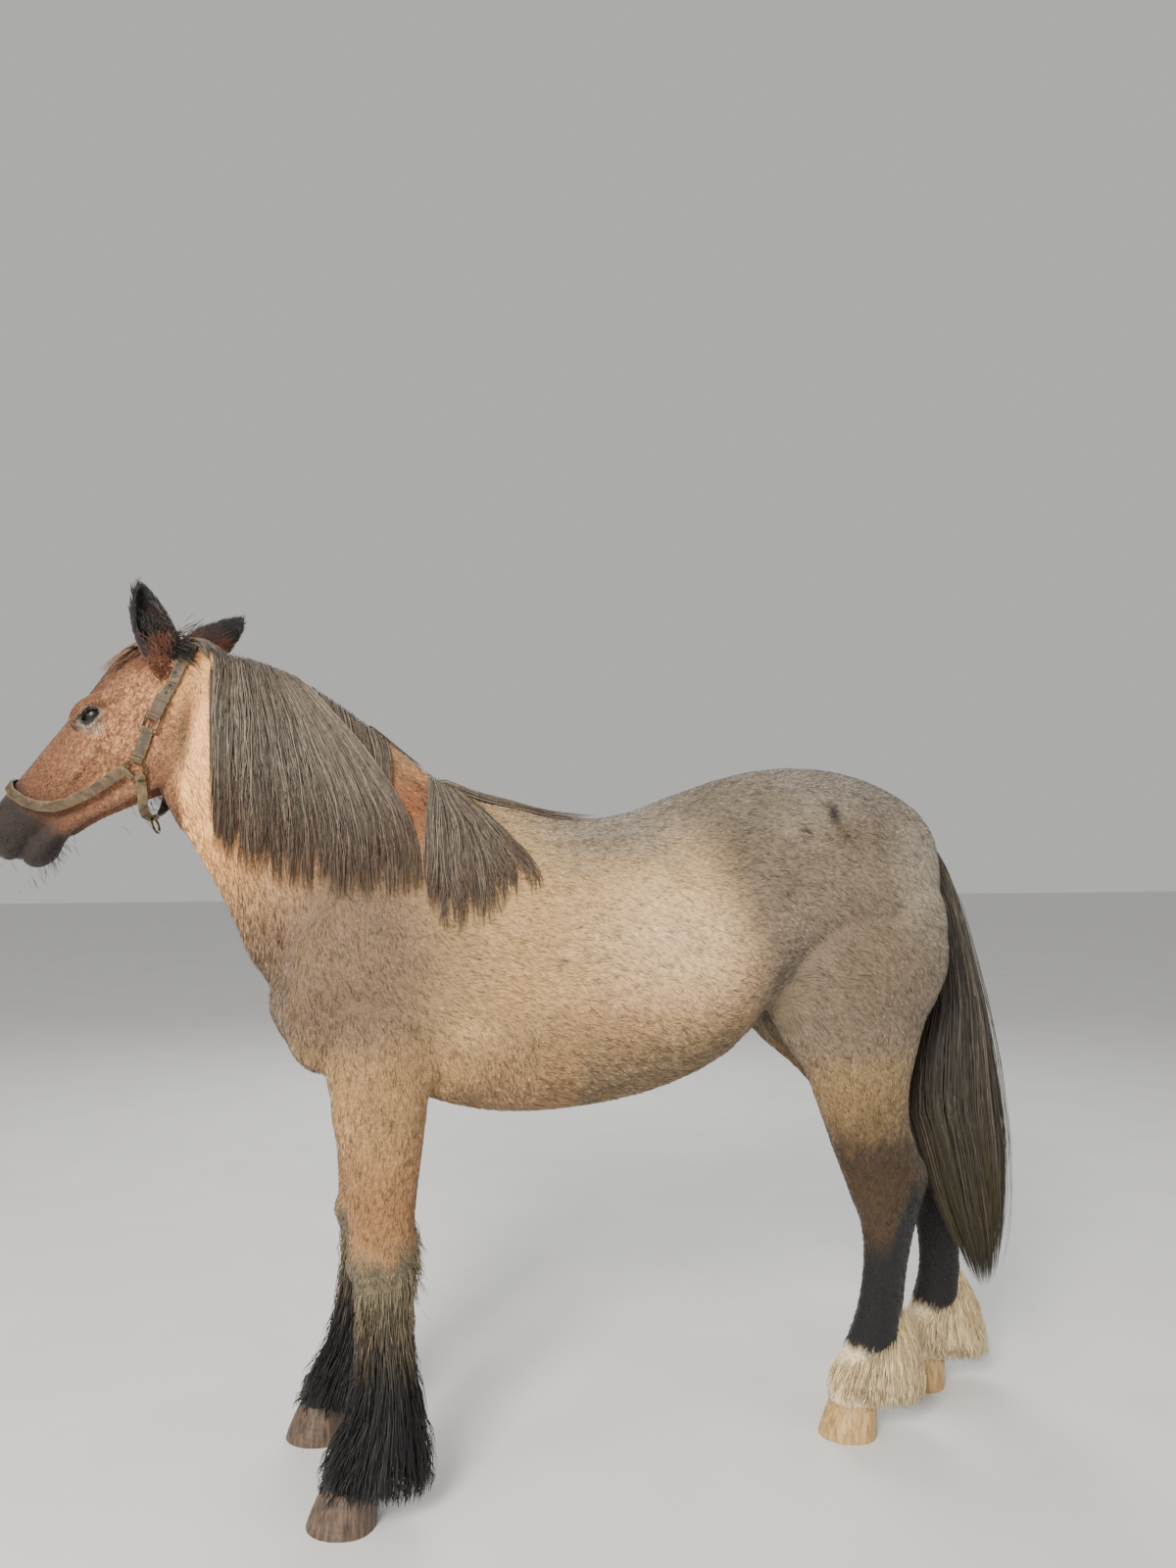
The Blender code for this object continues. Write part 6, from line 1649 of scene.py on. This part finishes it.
def coat_material(name, roughness, sheen, mark=0.16, scale=420.0, stretch=(0.28, 1, 1), broad=0.0):
    """Hair or haired skin: the painted colour, broken by fine streaks along the coat. Where broad is given,
    wide wavy bands lighten and darken it as painted highlights along the hair.
    """
    material, tree, shader = node_material(name)
    paint = add_node(tree, "ShaderNodeAttribute", attribute_name="coat")
    place = add_node(tree, "ShaderNodeTexCoord").outputs["Object"]
    streak = noise_node(tree, place, scale, 4.0, stretch)
    shades = ramp(tree, streak, [(0.25, (1 - mark,) * 3), (0.75, (1 + mark * 0.6,) * 3)])
    mix = add_node(tree, "ShaderNodeMix", data_type="RGBA", blend_type="MULTIPLY")
    mix.inputs["Factor"].default_value = 1.0
    tree.links.new(paint.outputs["Color"], mix.inputs["A"])
    tree.links.new(shades, mix.inputs["B"])
    result = mix.outputs["Result"]
    # Painted highlights: wide wavy bands along the hair, lighter and darker by the share broad.
    if broad:
        waves = noise_node(tree, place, 95.0, 3.0, (1, 1, 0.4))
        soft = ramp(tree, waves, [(0.32, (1 - broad,) * 3), (0.68, (1 + broad,) * 3)])
        mix = add_node(tree, "ShaderNodeMix", data_type="RGBA", blend_type="MULTIPLY")
        mix.inputs["Factor"].default_value = 1.0
        tree.links.new(result, mix.inputs["A"])
        tree.links.new(soft, mix.inputs["B"])
        result = mix.outputs["Result"]
    tree.links.new(result, shader.inputs["Base Color"])
    shader.inputs["Roughness"].default_value = roughness
    shader.inputs["Sheen Weight"].default_value = sheen
    shader.inputs["Sheen Roughness"].default_value = 0.5
    shader.inputs["Specular IOR Level"].default_value = 0.25
    bump(tree, shader, streak, 0.35, 0.0012)
    return material


def leather_material():
    """Old brown leather."""
    material, tree, shader = node_material("weathered_leather")
    place = add_node(tree, "ShaderNodeTexCoord").outputs["Object"]
    paint = add_node(tree, "ShaderNodeAttribute", attribute_name="coat")
    stain = noise_node(tree, place, 160.0, 5.0)
    shades = ramp(tree, stain, [(0.30, (0.72,) * 3), (0.75, (1.2,) * 3)])
    mix = add_node(tree, "ShaderNodeMix", data_type="RGBA", blend_type="MULTIPLY")
    mix.inputs["Factor"].default_value = 1.0
    tree.links.new(paint.outputs["Color"], mix.inputs["A"])
    tree.links.new(shades, mix.inputs["B"])
    tree.links.new(mix.outputs["Result"], shader.inputs["Base Color"])
    grain = add_node(tree, "ShaderNodeTexVoronoi", in_Scale=900.0)
    tree.links.new(place, grain.inputs["Vector"])
    shader.inputs["Roughness"].default_value = 0.58
    shader.inputs["Specular IOR Level"].default_value = 0.4
    bump(tree, shader, grain.outputs["Distance"], 0.35, 0.0006)
    return material


def metal_material():
    """The collar's worn metal."""
    material, tree, shader = node_material("dull_brass")
    place = add_node(tree, "ShaderNodeTexCoord").outputs["Object"]
    tarnish = noise_node(tree, place, 120.0, 4.0)
    colour = ramp(tree, tarnish, [(0.35, tone("3a3027")), (0.6, tone("76644a")), (0.8, tone("a89068"))])
    tree.links.new(colour, shader.inputs["Base Color"])
    rough = add_node(tree, "ShaderNodeMapRange", in_To_Min=0.30, in_To_Max=0.60)
    tree.links.new(tarnish, rough.inputs["Value"])
    tree.links.new(rough.outputs["Result"], shader.inputs["Roughness"])
    shader.inputs["Metallic"].default_value = 0.9
    bump(tree, shader, tarnish, 0.15, 0.0005)
    return material


def horn_material(name, dark, pale):
    """Hoof horn, in streaks between two tones."""
    material, tree, shader = node_material(name)
    place = add_node(tree, "ShaderNodeTexCoord").outputs["Object"]
    streaks = noise_node(tree, place, 60.0, 4.0, (2.2, 2.2, 0.25))
    colour = ramp(tree, streaks, [(0.3, dark), (0.7, pale)])
    tree.links.new(colour, shader.inputs["Base Color"])
    rings = noise_node(tree, place, 90.0, 2.0, (0.15, 0.15, 2.4))
    shader.inputs["Roughness"].default_value = 0.5
    bump(tree, shader, rings, 0.3, 0.0012)
    return material


def eye_material(name, centre, along):
    """A dark wet eye: near-black across and brown round the rim."""
    material, tree, shader = node_material(name)
    place = add_node(tree, "ShaderNodeTexCoord").outputs["Object"]
    shift = add_node(tree, "ShaderNodeVectorMath", operation="SUBTRACT")
    tree.links.new(place, shift.inputs[0])
    shift.inputs[1].default_value = centre
    size = add_node(tree, "ShaderNodeVectorMath", operation="DOT_PRODUCT")
    tree.links.new(shift.outputs["Vector"], size.inputs[0])
    size.inputs[1].default_value = along
    shades = ramp(tree, size.outputs["Value"],
                  [(0.0, tone("5a4536")), (0.35, tone("24150e")), (0.62, tone("0d0806"))])
    scale = add_node(tree, "ShaderNodeMapRange", in_From_Min=0.0, in_From_Max=EYE_RADIUS)
    tree.links.new(size.outputs["Value"], scale.inputs["Value"])
    tree.links.new(scale.outputs["Result"], shades.node.inputs["Fac"])
    tree.links.new(shades, shader.inputs["Base Color"])
    shader.inputs["Roughness"].default_value = 0.38
    shader.inputs["Specular IOR Level"].default_value = 0.35
    shader.inputs["Coat Weight"].default_value = 0.08
    shader.inputs["Coat Roughness"].default_value = 0.10
    return material


def floor_material():
    """The studio's plain floor."""
    material, tree, shader = node_material("studio_floor")
    place = add_node(tree, "ShaderNodeTexCoord").outputs["Object"]
    grain = noise_node(tree, place, 3.0, 2.0)
    colour = ramp(tree, grain, [(0.3, (0.70, 0.70, 0.69)), (0.7, (0.74, 0.74, 0.73))])
    tree.links.new(colour, shader.inputs["Base Color"])
    shader.inputs["Roughness"].default_value = 0.9
    return material


def dress(piece, material, slot, *nodes):
    """Gives a piece its material and its body, and says which solids it stands for. The slot is not used."""
    piece.data.materials.clear()
    piece.data.materials.append(material)
    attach(piece, "root")
    if nodes:
        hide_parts(*nodes)
    return piece


def move_to_row(piece, step):
    """Moves a piece from the horse's frame into the row frame."""
    piece.data.transform(Matrix.Translation(step))
    return piece


def make_floor():
    """The studio's floor."""
    bm = bmesh.new()
    bmesh.ops.create_grid(bm, x_segments=2, y_segments=2, size=30)
    floor = new_object("studio_floor", bm)
    floor.data.materials.append(floor_material())


def soft_light(name, spot, target, size, power, colour=(1, 1, 1)):
    """A square area light that looks at a target."""
    light = bpy.data.lights.new(name, "AREA")
    light.shape = "DISK"
    light.size = size
    light.energy = power
    light.color = colour
    lamp = bpy.data.objects.new(name, light)
    lamp.location = spot
    lamp.rotation_euler = (Vector(target) - Vector(spot)).to_track_quat("-Z", "Y").to_euler()
    bpy.context.scene.collection.objects.link(lamp)


def make_studio(step):
    """Floor, lights, world and the photo's camera."""
    make_floor()
    soft_light("key", (-2.8, -4.9, 3.8), (0, 0, 1.1), 2.2, 620, (1.0, 0.945, 0.85))
    soft_light("face", (-4.6, -2.8, 2.4), (-1.0, 0, 1.6), 2.5, 90, (1.0, 0.96, 0.90))
    soft_light("fill", (4.0, -3.6, 2.6), (0, 0, 1.0), 4.0, 70, (0.92, 0.96, 1.0))
    soft_light("rim", (1.0, 4.5, 4.2), (0, 0, 1.2), 3.5, 160)
    world = bpy.data.worlds.new("studio")
    world.use_nodes = True
    world.node_tree.nodes["Background"].inputs["Color"].default_value = WORLD_TONE
    world.node_tree.nodes["Background"].inputs["Strength"].default_value = WORLD_STRENGTH
    bpy.context.scene.world = world
    azimuth, pitch = math.radians(CAMERA_TURN), math.radians(CAMERA_PITCH)
    ahead = Vector((math.sin(azimuth) * math.cos(pitch), math.cos(azimuth) * math.cos(pitch),
                    math.sin(pitch)))
    lens = bpy.data.cameras.new("camera")
    lens.lens = CAMERA_LENS
    lens.sensor_width = CAMERA_SENSOR
    lens.sensor_fit = "AUTO"
    camera = bpy.data.objects.new("camera", lens)
    camera.location = Vector(CAMERA_AT) + step
    camera.rotation_euler = ahead.to_track_quat("-Z", "Y").to_euler()
    bpy.context.scene.collection.objects.link(camera)
    bpy.context.scene.camera = camera


# The tab and its loops: where they lie in the head's frame, length, width, height and rise.
TAB = [
    (-0.104, -0.095, -0.149, 0.044, 0.030, 0.0040, 0.0002),
    (-0.088, -0.094, -0.145, 0.010, 0.034, 0.0056, 0.0002),
    (-0.119, -0.096, -0.154, 0.009, 0.034, 0.0056, 0.0002),
]
# How many triangles each fine strap gets.
STRAPS = {"crown_strap": 9000, "left_cheek_strap": 3500, "strap_keeper": 1500, "nose_band": 8000,
          "jaw_strap": 4500}
# Where the punched holes lie, in the head's frame.
HOLES = [(-0.030, -0.089, -0.126), (-0.050, -0.091, -0.134), (-0.070, -0.093, -0.141)]

# The middle lines of the stitched straps in the head's frame, their widths and the stitches in a row.
COLLAR_LINES = [
    ("crown_strap", [
        (-0.205, 0.089, -0.186), (-0.153, 0.097, -0.166), (-0.107, 0.095, -0.152), (-0.060, 0.092, -0.138),
        (-0.020, 0.086, -0.122), (0.014, 0.066, -0.105), (0.033, 0.032, -0.085), (0.036, 0.000, -0.078),
        (0.033, -0.032, -0.085), (0.014, -0.066, -0.105), (-0.020, -0.086, -0.122), (-0.060, -0.092, -0.138),
        (-0.100, -0.095, -0.148), (-0.128, -0.0965, -0.156),
    ], 0.026, 110),
    ("left_cheek_strap", [(-0.152, -0.097, -0.164), (-0.180, -0.094, -0.176), (-0.205, -0.089, -0.186)],
     0.026, 16),
    ("nose_band", [
        (-0.238, -0.080, -0.180), (-0.280, -0.072, -0.168), (-0.340, -0.062, -0.148),
        (-0.395, -0.056, -0.120),
        (-0.425, -0.052, -0.085), (-0.438, -0.047, -0.045), (-0.442, -0.028, -0.010), (-0.442, 0.000, 0.000),
        (-0.442, 0.028, -0.010), (-0.438, 0.047, -0.045), (-0.425, 0.052, -0.085), (-0.395, 0.056, -0.120),
        (-0.340, 0.062, -0.148), (-0.280, 0.072, -0.168), (-0.238, 0.080, -0.180),
    ], 0.024, 130),
]


def main():
    """Builds every piece, dresses it and moves it into the row frame."""
    low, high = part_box("left_eye")
    step = (low + high) / 2 - HEAD @ Vector((EYE_AT.x, -EYE_AT.y, EYE_AT.z))
    make_studio(step)
    skin = make_skin()
    tree = tree_of(skin)
    unwrap = Unwrap(skin)
    paint_points(skin.data, coat_colour(points_of(skin.data), normals_of(skin.data)))
    flesh = ["torso", "neck", "head", "left_ear", "right_ear"]
    flesh += [word + part for word in SIDES.values() for part in ("_forearm", "_fore_shank", "_gaskin",
                                                                  "_hind_shank")]
    made = [dress(skin, coat_material("haired_skin", 0.78, 0.15, 0.42, 300.0), "body_coat", *flesh)]
    fur = coat_material("fur", 0.66, 0.15, 0.14)
    made += [dress(piece, fur, "body_coat") for piece in grow_coat(skin, unwrap)]
    # The last number gives the long hair its painted highlights in wavy bands.
    hair = coat_material("long_hair", 0.46, 0.08, 0.14, 300.0, (1, 1, 0.2), 0.24)
    made += [dress(piece, hair, "body_coat") for piece in make_mane(tree, np.random.default_rng(11))]
    made.append(dress(make_small_hair(np.random.default_rng(16)), hair, "head_coat"))
    made.append(dress(make_forelock(tree, np.random.default_rng(12)), hair, "head_coat"))
    under, outer = make_tail(np.random.default_rng(13))
    made += [dress(under, hair, "tail_hair", "tail"), dress(outer, hair, "tail_hair")]
    for side in SIDES:
        made.append(dress(feather(side, False, np.random.default_rng(14 + side)), hair, "fore_feather"))
        made.append(dress(feather(side, True, np.random.default_rng(24 + side)), hair, "hind_feather"))
    for side, word in SIDES.items():
        for hind, end in ((False, "_fore_hoof"), (True, "_hind_hoof")):
            pale = horn_material("pale_horn", tone("8d6d42"), tone("cba870"))
            dark = horn_material("dark_horn", tone("2e241e"), tone("6a5545"))
            foot = hoof(word + end + "_fine", side, hind)
            made.append(dress(foot, pale if hind else dark, "hind_horn" if hind else "fore_horn", word + end))
        eye = Vector((EYE_AT.x, side * EYE_AT.y, EYE_AT.z))
        ball = smooth_shaded(ellipsoid(word + "_eyeball", eye, (EYE_RADIUS / HEAD_SIZE,) * 3, matrix=HEAD,
                                       segments=48))
        out = (HEAD.to_3x3() @ Vector((-0.1, side, 0.05))).normalized()
        made.append(dress(ball, eye_material(word + "_wet_eye", HEAD @ eye + step, out), "eye",
                          word + "_eye"))
    for piece in made:
        move_to_row(piece, step)
    leather, metal = leather_material(), metal_material()
    for name, share in STRAPS.items():
        dress(worn_leather(name, share), leather, "collar_leather", name)
    dress(collar_details(step), leather, "collar_leather")
    dress(collar_tab(step), leather, "collar_leather")
    for name in ("cheek_buckle", "left_cheek_ring", "right_cheek_ring", "lead_ring"):
        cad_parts[name].data.materials.clear()
        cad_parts[name].data.materials.append(metal)


main()
